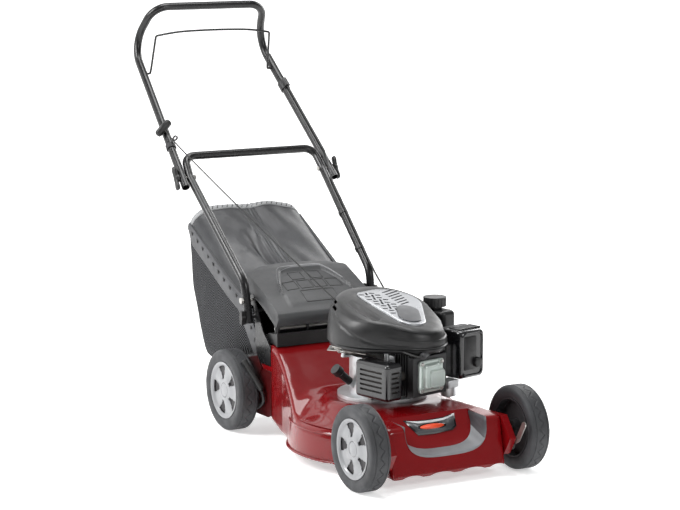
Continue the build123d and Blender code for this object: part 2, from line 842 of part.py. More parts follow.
with BuildPart() as muffler:
    add(rounded_span((-130, -90), (-152, -50), (190, 262), 9))
    with BuildSketch(Plane(origin=engine_point(-91, -126, HEAD_Z), z_dir=ENGINE.x_dir)):
        Circle(11)
    extrude(amount=37.8)
save(muffler, "muffler")

with BuildPart() as carburetor:
    with BuildSketch(Plane(origin=engine_point(53.2, -140, 194), z_dir=ENGINE.x_dir)):
        Circle(8)
    extrude(amount=30)
    add(box_span((76, 112), (-158, -122), (184, 202.6)))
    add(engine_disc(19, 162, 184, x=94, y=-140))
    add(engine_disc(6, 157, 162, x=94, y=-140))
save(carburetor, "carburetor")

FILTER_X = (106, 190)
FILTER_Z = (203, 326)
with BuildPart() as air_filter_base:
    add(box_span(FILTER_X, (-112, -94), FILTER_Z))
    fillet(air_filter_base.edges().filter_by(Axis.Z), radius=4)
save(air_filter_base, "air_filter_base")

with BuildPart() as air_filter_cover:
    add(box_span(FILTER_X, (-172, -112.2), FILTER_Z))
    front = air_filter_cover.faces().sort_by(Axis.Y)[0]
    fillet(front.edges(), radius=16)
    add(box_span(FILTER_X, (-168, -100), FILTER_Z, -3), mode=Mode.SUBTRACT)
    with BuildSketch(engine_face(152, -172, 250)):
        Circle(13)
    extrude(amount=8, taper=12)
save(air_filter_cover, "air_filter_cover")

TANK_X = (150, 198)
TANK_Y = (-62, 70)
TANK_Z = (276, 356)
CAP_AT = (172, -10)
CAP_R = 30
with BuildPart() as fuel_tank:
    add(rounded_span(TANK_X, TANK_Y, TANK_Z, 12))
    add(engine_disc(19, TANK_Z[1] - 2, TANK_Z[1] + 14, x=CAP_AT[0], y=CAP_AT[1]))
    add(rounded_span(TANK_X, TANK_Y, TANK_Z, 9, -3), mode=Mode.SUBTRACT)
    with BuildSketch(ENGINE.offset(TANK_Z[1] - 6)):
        with Locations(CAP_AT):
            Circle(16)
    extrude(amount=30, mode=Mode.SUBTRACT)
save(fuel_tank, "fuel_tank")

with BuildPart() as fuel_cap:
    add(engine_disc(CAP_R, TANK_Z[1] + 6, TANK_Z[1] + 30, bore=19.1, x=CAP_AT[0], y=CAP_AT[1]))
    add(engine_disc(CAP_R, TANK_Z[1] + 15, TANK_Z[1] + 30, x=CAP_AT[0], y=CAP_AT[1]))
    with BuildSketch(ENGINE.offset(TANK_Z[1] + 5)):
        with Locations(CAP_AT):
            with PolarLocations(CAP_R + 0.8, 18):
                Circle(2)
    extrude(amount=22, mode=Mode.SUBTRACT)
save(fuel_cap, "fuel_cap")

# Dipstick: its cap turns on the filler tube that leans out of the crankcase.
with BuildPart() as dipstick:
    add(rod(FILLER_TOP + FILLER_OUT * 0.3, FILLER_TOP + FILLER_OUT * 18, 14))
    add(rod(FILLER_FOOT + FILLER_OUT * 6, FILLER_TOP + FILLER_OUT * 2, 5))
save(dipstick, "dipstick")


def shroud_outline(grow=0):
    """Sketch the shroud's teardrop outline: a large circle run into a smaller one in front."""
    with Locations((0, 4)):
        Circle(138 + grow)
    with Locations((12, -100)):
        Circle(84 + grow)
    make_hull()


SHROUD_TILT = 14.5
SHROUD_TOP_Z = 400         # height of the sloping top over the crankshaft
SHROUD_WALL = 2.5
SHROUD_SLOPE = Plane(
    origin=engine_point(0, 0, SHROUD_TOP_Z),
    x_dir=ENGINE.x_dir,
    z_dir=ENGINE.z_dir.rotate(Axis((0, 0, 0), ENGINE.x_dir), -SHROUD_TILT),
)


def shroud_form(inset):
    """The shroud's outer form, or the space in it when inset is its wall."""
    top = SHROUD_SLOPE.offset(-inset)
    with BuildPart() as form:
        with BuildSketch(ENGINE.offset(SHROUD_Z - (5 if inset else 0))):
            shroud_outline(-inset)
        extrude(amount=150, taper=5)
        split(bisect_by=top, keep=Keep.BOTTOM)
    return form.part


with BuildPart() as engine_shroud:
    add(shroud_form(0))
    add(shroud_form(SHROUD_WALL), mode=Mode.SUBTRACT)
    for angle in LUG_ANGLES:
        with BuildSketch(ENGINE.offset(SHROUD_Z)):
            bar_between(around_shaft(LUG_R, angle), around_shaft(160, angle), 16)
        extrude(amount=4)
    add(shroud_form(0), mode=Mode.INTERSECT)
save(engine_shroud, "engine_shroud")

# Silver grille on the shroud's slope: a thin teardrop plate with rows of slots.
with BuildPart() as shroud_grille:
    with BuildSketch(SHROUD_SLOPE.offset(0.1)):
        with Locations((0, 0)):
            Circle(92)
        with Locations((8, -92)):
            Circle(52)
        make_hull()
        for row in range(6):
            with Locations(*[(-62 + 22 * n, 62 - 17 * row) for n in range(6)]):
                SlotOverall(16, 5, rotation=28 if row % 2 else -28, mode=Mode.SUBTRACT)
    extrude(amount=2.5)
save(shroud_grille, "shroud_grille")

# ---------------------------------------------------------------- rotating parts
BLADE_Z = 42
FLYWHEEL_Z = (302, 326)
with BuildPart() as crankshaft:
    add(engine_disc(SHAFT_R, BLADE_Z + 16, 352))
save(crankshaft, "crankshaft")

with BuildPart() as flywheel:
    add(engine_disc(72, FLYWHEEL_Z[0], FLYWHEEL_Z[0] + 12, bore=SHAFT_R + RUNNING_GAP))
    for n in range(16):
        with BuildSketch(ENGINE.offset(FLYWHEEL_Z[0] + 12)):
            bar_between(around_shaft(40, n * 22.5), around_shaft(66, n * 22.5 + 14), 3)
        extrude(amount=FLYWHEEL_Z[1] - FLYWHEEL_Z[0] - 12)
    add(engine_disc(30, FLYWHEEL_Z[0] + 12, 348, bore=SHAFT_R + RUNNING_GAP))
    for low in (330, 345):
        add(engine_disc(37, low, low + 3, bore=SHAFT_R + RUNNING_GAP))
save(flywheel, "flywheel")

with BuildPart() as blade_hub:
    add(engine_disc(22, BLADE_Z + 14, BLADE_Z + 50, bore=SHAFT_R + RUNNING_GAP))
    add(engine_disc(30, BLADE_Z + 3.5, BLADE_Z + 14, bore=5.05))
    add(engine_disc(SHAFT_R + RUNNING_GAP, BLADE_Z + 14, BLADE_Z + 16), mode=Mode.SUBTRACT)
save(blade_hub, "blade_hub")

with BuildPart() as blade:
    with BuildSketch(ENGINE.offset(BLADE_Z)):
        Rectangle(BLADE_LENGTH, 54)
        Circle(32)
        with Locations((BLADE_LENGTH / 2 - 50, -27), (-BLADE_LENGTH / 2 + 50, 27)):
            Rectangle(104, 24, mode=Mode.SUBTRACT)
        Circle(5.05, mode=Mode.SUBTRACT)
    extrude(amount=3.4)
    for turn in (1, -1):
        wing = Plane(
            origin=engine_point(turn * 150, turn * 27, BLADE_Z + 3.3),
            x_dir=ENGINE.y_dir * turn,
            z_dir=ENGINE.x_dir * turn,
        )
        with BuildSketch(wing):
            Polygon((-18, 0), (0, 16), (3, 16), (3, 13), (-12, 0), align=None)
        extrude(amount=70)
save(blade, "blade")

with BuildPart() as blade_bolt:
    with BuildSketch(ENGINE.offset(BLADE_Z - 7)):
        RegularPolygon(9, 6)
    extrude(amount=6.9)
    add(engine_disc(5, BLADE_Z - 1, BLADE_Z + 13.8))
save(blade_bolt, "blade_bolt")

# ---------------------------------------------------------------- engine controls
BRAKE_PIVOT = (52, 104)
with BuildPart() as brake_lever:
    with BuildSketch(ENGINE.offset(276)):
        bar_between(BRAKE_PIVOT, (84, 132), 12)
        bar_between(BRAKE_PIVOT, (20, 112), 10)
        with Locations(BRAKE_PIVOT):
            Circle(9)
            Circle(3.05, mode=Mode.SUBTRACT)
        with Locations((84, 132)):
            Circle(2, mode=Mode.SUBTRACT)
    extrude(amount=2)
save(brake_lever, "brake_lever")

with BuildPart() as control_plate:
    with BuildSketch(ENGINE.offset(270)):
        Polygon((-92, 52), (-112, 86), (-70, 122), (70, 118), (76, 92), (30, 84), (-50, 80), align=None)
    extrude(amount=2)
    add(engine_disc(3, 272, 281, x=BRAKE_PIVOT[0], y=BRAKE_PIVOT[1]))
    add(engine_disc(8, 262.2, 270, x=-74, y=66))
    with BuildSketch(ENGINE.offset(256)):
        bar_between(around_shaft(80, 138.3), around_shaft(99, 138.3), 12)
    extrude(amount=6.2)
    add(crankcase.part, mode=Mode.SUBTRACT)
save(control_plate, "control_plate")

# ---------------------------------------------------------------- rear flap and its hinge
FLAP_HALF = 161
HINGE_EARS = (60, 146)
PIN_R = 4
with BuildPart() as chute_frame:
    with BuildSketch(side_plane(-FLAP_HALF)):
        Polygon(
            (aft(546), 243.5), (aft(560), 247.3), (aft(600), 246.3), (aft(608), 248), (aft(608), 266),
            (aft(590), 274), (aft(556), 275.5), (aft(551), 278.5), (aft(546), 278.5),
            align=None,
        )
    extrude(amount=2 * FLAP_HALF)
    for side in (-1, 1):
        for x in HINGE_EARS:
            with BuildSketch(side_plane(side * x)):
                with Locations(FLAP_PIVOT):
                    Circle(7)
                with Locations((FLAP_PIVOT[0], FLAP_PIVOT[1] - 10)):
                    Rectangle(14, 20)
            extrude(amount=side * 6)
    with Locations((0, *FLAP_PIVOT)):
        Cylinder(PIN_R + RUNNING_GAP, 400, rotation=(0, 90, 0), mode=Mode.SUBTRACT)
    add(deck_shell.part, mode=Mode.SUBTRACT)
save(chute_frame, "chute_frame")

with BuildPart() as flap_pin:
    with BuildSketch(side_plane(-156)):
        with Locations(FLAP_PIVOT):
            Circle(PIN_R)
    extrude(amount=312)
save(flap_pin, "flap_pin")

FLAP_SHEET = 3
FLAP_SIDE = [
    (aft(553), 294), (aft(553), 314), (aft(561), 322), (aft(629), 362), (aft(738), 410), (aft(742), 406),
    (aft(742), 384), (aft(629), 338), (aft(584), 302), (aft(584), 281),
]
with BuildPart() as rear_flap:
    with BuildSketch(side_plane(-FLAP_HALF)):
        Polygon(*FLAP_SIDE, align=None)
    extrude(amount=2 * FLAP_HALF)
    with BuildSketch(side_plane(-FLAP_HALF + FLAP_SHEET)):
        Polygon(
            (aft(556), 270), (aft(556), 312.5), (aft(562), 318.5), (aft(630), 358.5), (aft(760), 416),
            (aft(760), 270),
            align=None,
        )
    extrude(amount=2 * (FLAP_HALF - FLAP_SHEET), mode=Mode.SUBTRACT)
    for side in (-1, 1):
        for x in (68, 128):
            with BuildSketch(side_plane(side * x)):
                with Locations(FLAP_PIVOT):
                    Circle(7.5)
                Polygon(
                    (aft(555), 286), (aft(567), 295), (aft(567), 313), (aft(555), 310), align=None,
                )
            extrude(amount=side * 12)
    with Locations((0, *FLAP_PIVOT)):
        Cylinder(PIN_R + RUNNING_GAP, 400, rotation=(0, 90, 0), mode=Mode.SUBTRACT)
save(rear_flap, "rear_flap")


# ---------------------------------------------------------------- grass bag
BAG_SIDE = [
    (aft(651), 218), (aft(903), 139), (aft(972), 155), (aft(1035), 317), (aft(1050), 500), (aft(735), 337),
    (aft(690), 318),
]
BAG_PLAN = [(158, 640), (160, 712), (171, 800), (172, 1060)]    # half width and distance aft
NET_WALL = 2
COVER_WALL = 3


def bag_plan(inset):
    """Sketch the bag's outline from above."""
    right = [(half - inset, aft(back)) for half, back in BAG_PLAN]
    left = [(-x, y) for x, y in reversed(right)]
    Polygon(*right, *left, align=None)


def bag_space():
    """The room inside the net: open at the mouth and the top."""
    with BuildPart() as space:
        with BuildSketch(side_plane(-200)):
            Polygon(
                (aft(600), 236.1), (aft(903.2), 141.1), (aft(970.5), 156.9), (aft(1033), 317.6),
                (aft(1047.9), 500), (aft(1047.9), 620), (aft(600), 620),
                align=None,
            )
        extrude(amount=400)
        with BuildSketch(Plane.XY.offset(100)):
            bag_plan(NET_WALL)
        extrude(amount=600, mode=Mode.INTERSECT)
    return space.part


with BuildPart() as bag_net:
    with BuildSketch(side_plane(-200)):
        Polygon(*BAG_SIDE, align=None)
    extrude(amount=400)
    with BuildSketch(Plane.XY.offset(100)):
        bag_plan(0)
    extrude(amount=600, mode=Mode.INTERSECT)
    add(bag_space(), mode=Mode.SUBTRACT)
save(bag_net, "bag_net")

COVER_SECTIONS = [(712, 159, 327.6), (800, 170, 373.7), (1050, 171, 503.6)]   # aft, half width, rail height


def arched(back, half, base, inset):
    """The cover's arched section at one distance aft."""
    half -= inset
    foot = base - (3 if inset else 0)
    with BuildSketch(Plane(origin=(0, aft(back), 0), x_dir=(1, 0, 0), z_dir=(0, -1, 0))) as section:
        Polygon(
            (-half, foot), (-half, base + 9 - inset), (-0.9 * half, base + 22 - inset),
            (-0.6 * half, base + 36 - inset), (0, base + 42 - inset), (0.6 * half, base + 36 - inset),
            (0.9 * half, base + 22 - inset), (half, base + 9 - inset), (half, foot),
            align=None,
        )
    return section.sketch


def cover_form(inset):
    """The cover's outer form, or the space in it when inset is its wall."""
    ends = (inset, 0, -inset)
    sections = [(back + end, half, base) for (back, half, base), end in zip(COVER_SECTIONS, ends)]
    with BuildPart() as form:
        for front, rear in zip(sections, sections[1:]):
            loft([arched(*front, inset), arched(*rear, inset)], ruled=True)
    return form.part


with BuildPart() as bag_cover:
    add(cover_form(0))
    add(cover_form(COVER_WALL), mode=Mode.SUBTRACT)
save(bag_cover, "bag_cover")

RAIL_R = 4
with BuildPart() as bag_frame:
    for side in (-1, 1):
        corners = [
            (side * 151, aft(664), 222), (side * 151, aft(700), 313), (side * 164, aft(805), 368),
            (side * 163.5, aft(1041), 491),
        ]
        for start, end in zip(corners, corners[1:]):
            add(rod(start, end, RAIL_R))
        for corner in corners[1:3]:
            with Locations(corner):
                Sphere(RAIL_R)
    for back, z, half in ((664, 222, 151), (700, 313, 151), (1041, 491, 163.5)):
        add(rod((-half, aft(back), z), (half, aft(back), z), RAIL_R))
        with Locations((-half, aft(back), z), (half, aft(back), z)):
            Sphere(RAIL_R)
save(bag_frame, "bag_frame")

# ---------------------------------------------------------------- starter rope, grip and brake cable
GRIP_AT = (-230, aft(1080), 766)
ROPE_ROUTE = [(-82, aft(374), 386.3), (-208, aft(1023), 730), (-214, aft(1054), 748), (-226, aft(1071), 762)]
ROPE_BENDS = (40, 14)
with BuildPart() as starter_rope:
    add(tube(ROPE_ROUTE, ROPE_BENDS, ROPE_R))
save(starter_rope, "starter_rope")

with BuildPart() as starter_grip:
    with BuildSketch(Plane(origin=GRIP_AT, x_dir=(0.72, 0, 0.69), z_dir=(0, 1, 0))):
        SlotOverall(54, 16)
    extrude(amount=8, both=True)
    fillet(starter_grip.edges(), radius=4)
save(starter_grip, "starter_grip")

with BuildPart() as brake_cable:
    add(cable(CABLE_R))
save(brake_cable, "brake_cable")
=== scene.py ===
import json
from contextlib import contextmanager
from math import cos, hypot, pi, radians, sin, tan

import bmesh
import bpy
from mathutils import Matrix, Vector, noise


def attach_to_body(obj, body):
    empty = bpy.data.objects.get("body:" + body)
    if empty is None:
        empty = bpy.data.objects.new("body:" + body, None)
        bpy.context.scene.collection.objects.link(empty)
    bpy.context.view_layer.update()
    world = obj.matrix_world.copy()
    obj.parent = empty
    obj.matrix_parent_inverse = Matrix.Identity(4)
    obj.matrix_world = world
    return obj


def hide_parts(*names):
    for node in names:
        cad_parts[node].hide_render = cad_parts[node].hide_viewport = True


# Push lawn mower. Metres, +Z up, the mower's front faces -Y and the operator's right is -X.
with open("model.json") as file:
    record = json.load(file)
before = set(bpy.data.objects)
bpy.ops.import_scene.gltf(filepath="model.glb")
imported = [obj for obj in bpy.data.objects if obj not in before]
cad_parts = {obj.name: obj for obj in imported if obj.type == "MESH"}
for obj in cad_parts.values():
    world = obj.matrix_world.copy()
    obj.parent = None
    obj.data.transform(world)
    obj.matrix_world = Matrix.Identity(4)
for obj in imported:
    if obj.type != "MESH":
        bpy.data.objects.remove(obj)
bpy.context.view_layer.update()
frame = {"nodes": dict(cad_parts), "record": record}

# ---------------- dimensions
MM = 0.001
FRONT_AXLE_Y = -612.3 * MM
CRANK_BACK = 280
CRANK_Y = FRONT_AXLE_Y + CRANK_BACK * MM
ENGINE_TURN = radians(13)
SIDES = [(-1, "right"), (1, "left")]


def aft(distance):
    """Y, in metres, of a point so many millimetres behind the front axle."""
    return FRONT_AXLE_Y + distance * MM


def at(x, back, z):
    """A point from its x, its distance behind the front axle and its height, in millimetres."""
    return Vector((x * MM, aft(back), z * MM))


def engine(x, y, z):
    """A point from the engine's own axes, which stand on the crankshaft and are turned on the deck."""
    return Vector((
        (x * cos(ENGINE_TURN) - y * sin(ENGINE_TURN)) * MM,
        CRANK_Y + (x * sin(ENGINE_TURN) + y * cos(ENGINE_TURN)) * MM,
        z * MM,
    ))


ENGINE_AHEAD = (engine(0, -1, 0) - engine(0, 0, 0)).normalized()


def turns(count):
    """Angles evenly spaced round a full turn."""
    return [2 * pi * n / count for n in range(count)]


def linked(name, data):
    """A new object that shows some data, in the scene."""
    obj = bpy.data.objects.new(name, data)
    bpy.context.collection.objects.link(obj)
    return obj


# ---------------- camera, light and floor
def look_rotation(azimuth, elevation):
    """Rotation of a camera that looks at the mower from this azimuth and elevation, in radians."""
    back = Vector((sin(azimuth) * cos(elevation), -cos(azimuth) * cos(elevation), sin(elevation)))
    right = Vector((cos(azimuth), sin(azimuth), 0))
    up = back.cross(right)
    return Matrix((right, up, back)).transposed().to_euler()


def make_camera():
    """The camera: a long lens from the front right, a little above the engine."""
    data = bpy.data.cameras.new("camera")
    data.lens = 119.48
    data.sensor_width = 36
    data.shift_x = 0.0030
    data.shift_y = 0.00125
    data.clip_end = 50
    camera = linked("camera", data)
    camera.location = (-2.8122, -4.5222 + FRONT_AXLE_Y, 1.4338)
    camera.rotation_euler = look_rotation(radians(-29.187), radians(9.437))
    bpy.context.scene.camera = camera


def area_light(name, location, target, size, power):
    """One soft rectangular light aimed at a point."""
    data = bpy.data.lights.new(name, "AREA")
    data.shape = "RECTANGLE"
    data.size, data.size_y = size
    data.energy = power
    light = linked(name, data)
    light.location = location
    light.rotation_euler = (Vector(location) - Vector(target)).to_track_quat("Z", "Y").to_euler()


WORLD_LIGHT = 0.24
FLOOR_GLOW = 0.5


def floor_material():
    """Matt white floor that stays white where the lights fade."""
    material, tree, shader = new_material("floor_white")
    set_inputs(shader, {
        "Base Color": (0.9, 0.9, 0.9, 1), "Roughness": 1.0, "Specular IOR Level": 0.0,
        "Emission Color": (1, 1, 1, 1),
    })
    reach = tree.nodes.new("ShaderNodeVectorMath")
    reach.operation = "LENGTH"
    tree.links.new(object_coords(tree, (0.1, 0.1, 0.1)), reach.inputs[0])
    glow = ramp(tree, reach.outputs["Value"], (FLOOR_GLOW,) * 3, (0.96,) * 3, 0.13, 0.5)
    tree.links.new(glow, shader.inputs["Emission Strength"])
    return material


def make_stage():
    """White floor that runs up into a white world, and soft studio lights."""
    sweep = [(-30, 0), (7, 0)]
    sweep += [(7 + 3 * sin(pi / 2 * n / 12), 3 - 3 * cos(pi / 2 * n / 12)) for n in range(1, 13)]
    sweep += [(10, 14)]
    points = [(side, y, z) for side in (-30, 30) for y, z in sweep]
    floor = raw_object("floor", points, grid_faces(2, len(sweep)))
    for polygon in floor.data.polygons:
        polygon.use_smooth = True
    floor.data.materials.append(floor_material())
    world = bpy.data.worlds.new("studio")
    world.use_nodes = True
    set_inputs(world.node_tree.nodes["Background"], {"Color": (1, 1, 1, 1), "Strength": WORLD_LIGHT})
    bpy.context.scene.world = world
    middle = (0, 0, 0.4)
    area_light("key_left", (-2.6, 0.4, 2.4), middle, (1.0, 1.8), 95)
    area_light("front", (0.6, -3.6, 2.2), middle, (1.8, 0.8), 38)
    area_light("top", (0.2, 0.2, 3.2), middle, (1.6, 1.6), 62)
    area_light("right_rim", (2.8, 1.2, 1.8), middle, (0.7, 2.0), 40)
    bpy.context.scene.view_settings.view_transform = "Standard"


# ---------------- materials
def new_material(name):
    """An empty principled material and its tree and shader."""
    material = bpy.data.materials.new(name)
    material.use_nodes = True
    tree = material.node_tree
    return material, tree, tree.nodes["Principled BSDF"]


def set_inputs(node, values):
    """Set some of a node's inputs by name."""
    for name, value in values.items():
        node.inputs[name].default_value = value


def object_coords(tree, scale=(1, 1, 1)):
    """The object's own coordinates, scaled."""
    coords = tree.nodes.new("ShaderNodeTexCoord")
    mapping = tree.nodes.new("ShaderNodeMapping")
    mapping.inputs["Scale"].default_value = scale
    tree.links.new(coords.outputs["Object"], mapping.inputs["Vector"])
    return mapping.outputs["Vector"]


def noise_value(tree, scale, detail):
    """A noise texture's value in the object's coordinates."""
    node = tree.nodes.new("ShaderNodeTexNoise")
    set_inputs(node, {"Scale": scale, "Detail": detail})
    tree.links.new(object_coords(tree), node.inputs["Vector"])
    return node.outputs["Fac"]


def ramp(tree, value, low, high, start=0.35, end=0.65):
    """A value mapped to a colour or a grey between two stops."""
    node = tree.nodes.new("ShaderNodeValToRGB")
    for stop, position, colour in zip(node.color_ramp.elements, (start, end), (low, high)):
        stop.position = position
        stop.color = (*colour, 1)
    tree.links.new(value, node.inputs["Fac"])
    return node.outputs["Color"]


def bump(tree, shader, height, distance, strength=1.0):
    """Bump on a shader from a height value, in metres."""
    node = tree.nodes.new("ShaderNodeBump")
    set_inputs(node, {"Strength": strength, "Distance": distance})
    tree.links.new(height, node.inputs["Height"])
    tree.links.new(node.outputs["Normal"], shader.inputs["Normal"])


def tinted(colour, factor):
    """A colour made lighter or darker."""
    return tuple(min(1, channel * factor) for channel in colour)


def plain(
    name, colour, roughness=0.5, metallic=0.0, grain=0.0, grain_scale=900, mottle=0.12, coat=0.0,
    coat_roughness=0.1, specular=0.5,
):
    """A finish with slight colour mottling, uneven gloss and a fine surface grain."""
    material, tree, shader = new_material(name)
    patches = noise_value(tree, 14, 4)
    colours = ramp(tree, patches, tinted(colour, 1 - mottle), tinted(colour, 1 + mottle))
    tree.links.new(colours, shader.inputs["Base Color"])
    gloss = ramp(tree, noise_value(tree, 45, 2), (roughness * 0.88,) * 3, (min(1, roughness * 1.12),) * 3)
    tree.links.new(gloss, shader.inputs["Roughness"])
    set_inputs(shader, {
        "Metallic": metallic, "Specular IOR Level": specular, "Coat Weight": coat,
        "Coat Roughness": coat_roughness,
    })
    if grain:
        bump(tree, shader, noise_value(tree, grain_scale, 2), grain)
    material.diffuse_color = (*colour, 1)
    return material


FINISHES = {               # what plain() takes after the name
    "paint": ((0.165, 0.002, 0.0035), 0.24, 0, 0, 900, 0.03, 0.55, 0.04, 0.15),
    "grey_plastic": ((0.085, 0.088, 0.095), 0.42, 0, 0.00008, 1600),
    # A darker copy of the deck paint, as painted shade for the rear axle brackets and side plates.
    "painted_shade_red": ((0.05, 0.0012, 0.0018), 0.35),
    # A lighter copy of the flap grey, as a painted highlight for the band along the flap's arch.
    "flap_painted_highlight": ((0.20, 0.202, 0.21), 0.45),
    "zinc": ((0.42, 0.41, 0.39), 0.34, 0.9, 0.00004, 500, 0.1),
    "rubber": ((0.012, 0.012, 0.012), 0.55, 0, 0.00006, 1200),
    "rim": ((0.254, 0.258, 0.267), 0.36, 0.2, 0.00002, 1500, 0.05, 0.2, 0.2),
    "tyre": ((0.027, 0.028, 0.031), 0.6, 0, 0.0001, 1400, 0.2),
    "satin_black": ((0.006, 0.006, 0.0065), 0.28, 0, 0, 900, 0.15, 0.1, 0.2, 0.4),
    "black_plastic": ((0.006, 0.006, 0.0065), 0.42, 0, 0.00006, 1500),
    "shroud": ((0.010, 0.010, 0.0105), 0.4, 0, 0.00002, 1800, 0.1, 0, 0.3, 0.45),
    "gloss_black": ((0.006, 0.006, 0.007), 0.22, 0, 0.00003, 900, 0.15, 0.5, 0.12),
    "silver": ((0.375, 0.383, 0.398), 0.3, 0.75, 0.00003, 1200, 0.06),
    "cast": ((0.55, 0.56, 0.57), 0.42, 0.85, 0.00035, 420, 0.2),
    "cover_alloy": ((0.50, 0.56, 0.53), 0.34, 0.45, 0.0001, 600, 0.08),
    "rim_light": ((0.30, 0.305, 0.31), 0.5),
    "dark_cast": ((0.026, 0.026, 0.027), 0.45, 0.4, 0.0002, 500, 0.2),
    "iron": ((0.08, 0.075, 0.07), 0.6, 0.6, 0.0003, 500, 0.3),
    "flap": ((0.042, 0.043, 0.045), 0.45, 0, 0.0001, 1700),
    "vinyl": ((0.032, 0.033, 0.036), 0.4, 0, 0.0002, 900, 0.15),
    "strip_grey": ((0.17, 0.175, 0.185), 0.4, 0, 0.00004, 1600),
    "drum": ((0.02, 0.018, 0.02), 0.6, 0, 0.0001, 1200),
    "white": ((0.62, 0.63, 0.64), 0.35),
    "orange": ((0.75, 0.07, 0.02), 0.35),
    "cord": ((0.012, 0.012, 0.012), 0.7, 0, 0.0002, 1500),
    "badge_grey": ((0.055, 0.057, 0.062), 0.35, 0.2),
    "rail_grey": ((0.06, 0.061, 0.065), 0.45, 0, 0.0001, 1400),
}


NET_ZIGZAG = 0.026         # the width of one slant, in metres
NET_SLANT = 1.1
NET_THREADS = 860


def math_value(tree, operation, *inputs):
    """A math node's value, from sockets and numbers."""
    node = tree.nodes.new("ShaderNodeMath")
    node.operation = operation
    for socket, value in zip(node.inputs, inputs):
        if isinstance(value, bpy.types.NodeSocket):
            tree.links.new(value, socket)
        else:
            socket.default_value = value
    return node.outputs["Value"]


def net_material():
    """Woven net: a herringbone of fine slanted threads over dark gaps."""
    material, tree, shader = new_material("net")
    split = tree.nodes.new("ShaderNodeSeparateXYZ")
    tree.links.new(object_coords(tree), split.inputs["Vector"])
    around = math_value(tree, "ADD", split.outputs["X"], split.outputs["Y"])
    zigzag = math_value(tree, "PINGPONG", around, NET_ZIGZAG)
    slanted = math_value(tree, "MULTIPLY_ADD", zigzag, NET_SLANT, split.outputs["Z"])
    threads = math_value(tree, "SINE", math_value(tree, "MULTIPLY", slanted, NET_THREADS))
    colours = ramp(tree, threads, (0.003, 0.003, 0.0035), (0.09, 0.092, 0.098), 0.3, 0.7)
    tree.links.new(colours, shader.inputs["Base Color"])
    set_inputs(shader, {"Roughness": 0.75, "Specular IOR Level": 0.15})
    bump(tree, shader, threads, 0.0006, 0.8)
    return material


MATERIALS = {name: plain(name, *values) for name, values in FINISHES.items()}
MATERIALS["net"] = net_material()

SLOT_MATERIALS = {
    "deck_red": "paint", "bracket_red": "paint", "bumper_grey": "grey_plastic", "zinc_steel": "zinc",
    "lever_rubber": "rubber", "rim_grey": "rim", "tyre_black": "tyre", "handle_black": "satin_black",
    "black_plastic": "black_plastic", "shroud_black": "shroud", "grille_silver": "silver",
    "cast_alloy": "cast", "iron": "iron", "plug_white": "gloss_black", "flap_grey": "flap",
    "bag_cloth": "vinyl", "bag_vinyl": "vinyl", "cord_black": "cord", "cable_black": "rubber",
}
# The rear axle brackets take the darker copy of the deck paint, a painted shade.
NODE_MATERIALS = {
    "cylinder": "dark_cast", "rope_guide": "dark_cast", "rear_axle_brackets": "painted_shade_red",
    "muffler_guard": "gloss_black",
}


def dress_cad_nodes():
    """Give every CAD node the procedural material of its slot."""
    for part in frame["record"]["subparts"]:
        node = frame["nodes"][part["node"]]
        finish = NODE_MATERIALS.get(part["node"], SLOT_MATERIALS[part["material_slot"]])
        for material_slot in node.material_slots:
            material_slot.material = MATERIALS[finish]


dress_cad_nodes()


# ---------------- mesh helpers
def raw_object(name, points, faces):
    """A linked mesh object from points in metres and faces."""
    mesh = bpy.data.meshes.new(name)
    mesh.from_pydata([tuple(p) for p in points], [], faces)
    mesh.update()
    return linked(name, mesh)


@contextmanager
def editing(obj):
    """An object's mesh as a bmesh, which is written back at the end."""
    work = bmesh.new()
    work.from_mesh(obj.data)
    yield work
    work.to_mesh(obj.data)
    work.free()


def recalc(obj):
    """Make an object's faces point outwards."""
    with editing(obj) as work:
        bmesh.ops.remove_doubles(work, verts=work.verts, dist=0.00001)
        bmesh.ops.recalc_face_normals(work, faces=work.faces)


def bake(obj):
    """Replace an object's mesh by its evaluated one, and drop its modifiers."""
    evaluated = obj.evaluated_get(bpy.context.evaluated_depsgraph_get())
    mesh = bpy.data.meshes.new_from_object(evaluated)
    obj.modifiers.clear()
    obj.data = mesh


def sharpen(obj, degrees):
    """Keep creases at the edges that turn by more than an angle."""
    with editing(obj) as work:
        for edge in work.edges:
            if len(edge.link_faces) == 2 and edge.calc_face_angle(0) > radians(degrees):
                edge.smooth = False


def attach(obj, material, body, hides):
    """Give a piece its material, finish slot and body, and hide the CAD nodes it stands for."""
    obj.data.materials.clear()
    obj.data.materials.append(MATERIALS[material])
    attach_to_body(obj, body)
    if hides:
        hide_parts(*hides)


def dressed(obj, material, body, hides=(), crease=None):
    """Finish a mesh piece: smooth shading, with creases where an angle is given."""
    if crease:
        sharpen(obj, crease)
    for polygon in obj.data.polygons:
        polygon.use_smooth = True
    attach(obj, material, body, hides)


def grid_faces(rows, columns, wrap_rows=False, wrap_columns=False, skip=None):
    """Quads of a grid of points stored row by row."""
    faces = []
    for row in range(rows if wrap_rows else rows - 1):
        for column in range(columns if wrap_columns else columns - 1):
            if skip and skip(row, column):
                continue
            here, above = row * columns, (row + 1) % rows * columns
            beside = (column + 1) % columns
            faces.append((here + column, here + beside, above + beside, above + column))
    return faces


def surface(name, rows, wrapped=False):
    """A mesh through a grid of points given row by row, open or closed both ways."""
    points = [p for row in rows for p in row]
    obj = raw_object(name, points, grid_faces(len(rows), len(rows[0]), wrapped, wrapped))
    recalc(obj)
    return obj


def lofted(name, rings, cap_first=True, cap_last=True):
    """A closed-section shell through rings that all have the same number of points."""
    points = [p for ring in rings for p in ring]
    count = len(rings[0])
    faces = grid_faces(len(rings), count, wrap_columns=True)
    if cap_first:
        faces.append(tuple(reversed(range(count))))
    if cap_last:
        faces.append(tuple(range(len(points) - count, len(points))))
    obj = raw_object(name, points, faces)
    recalc(obj)
    return obj


def prism(name, outline, depth):
    """A closed prism: an outline of 3-D points pushed along a vector."""
    return lofted(name, [outline, [p + depth for p in outline]])


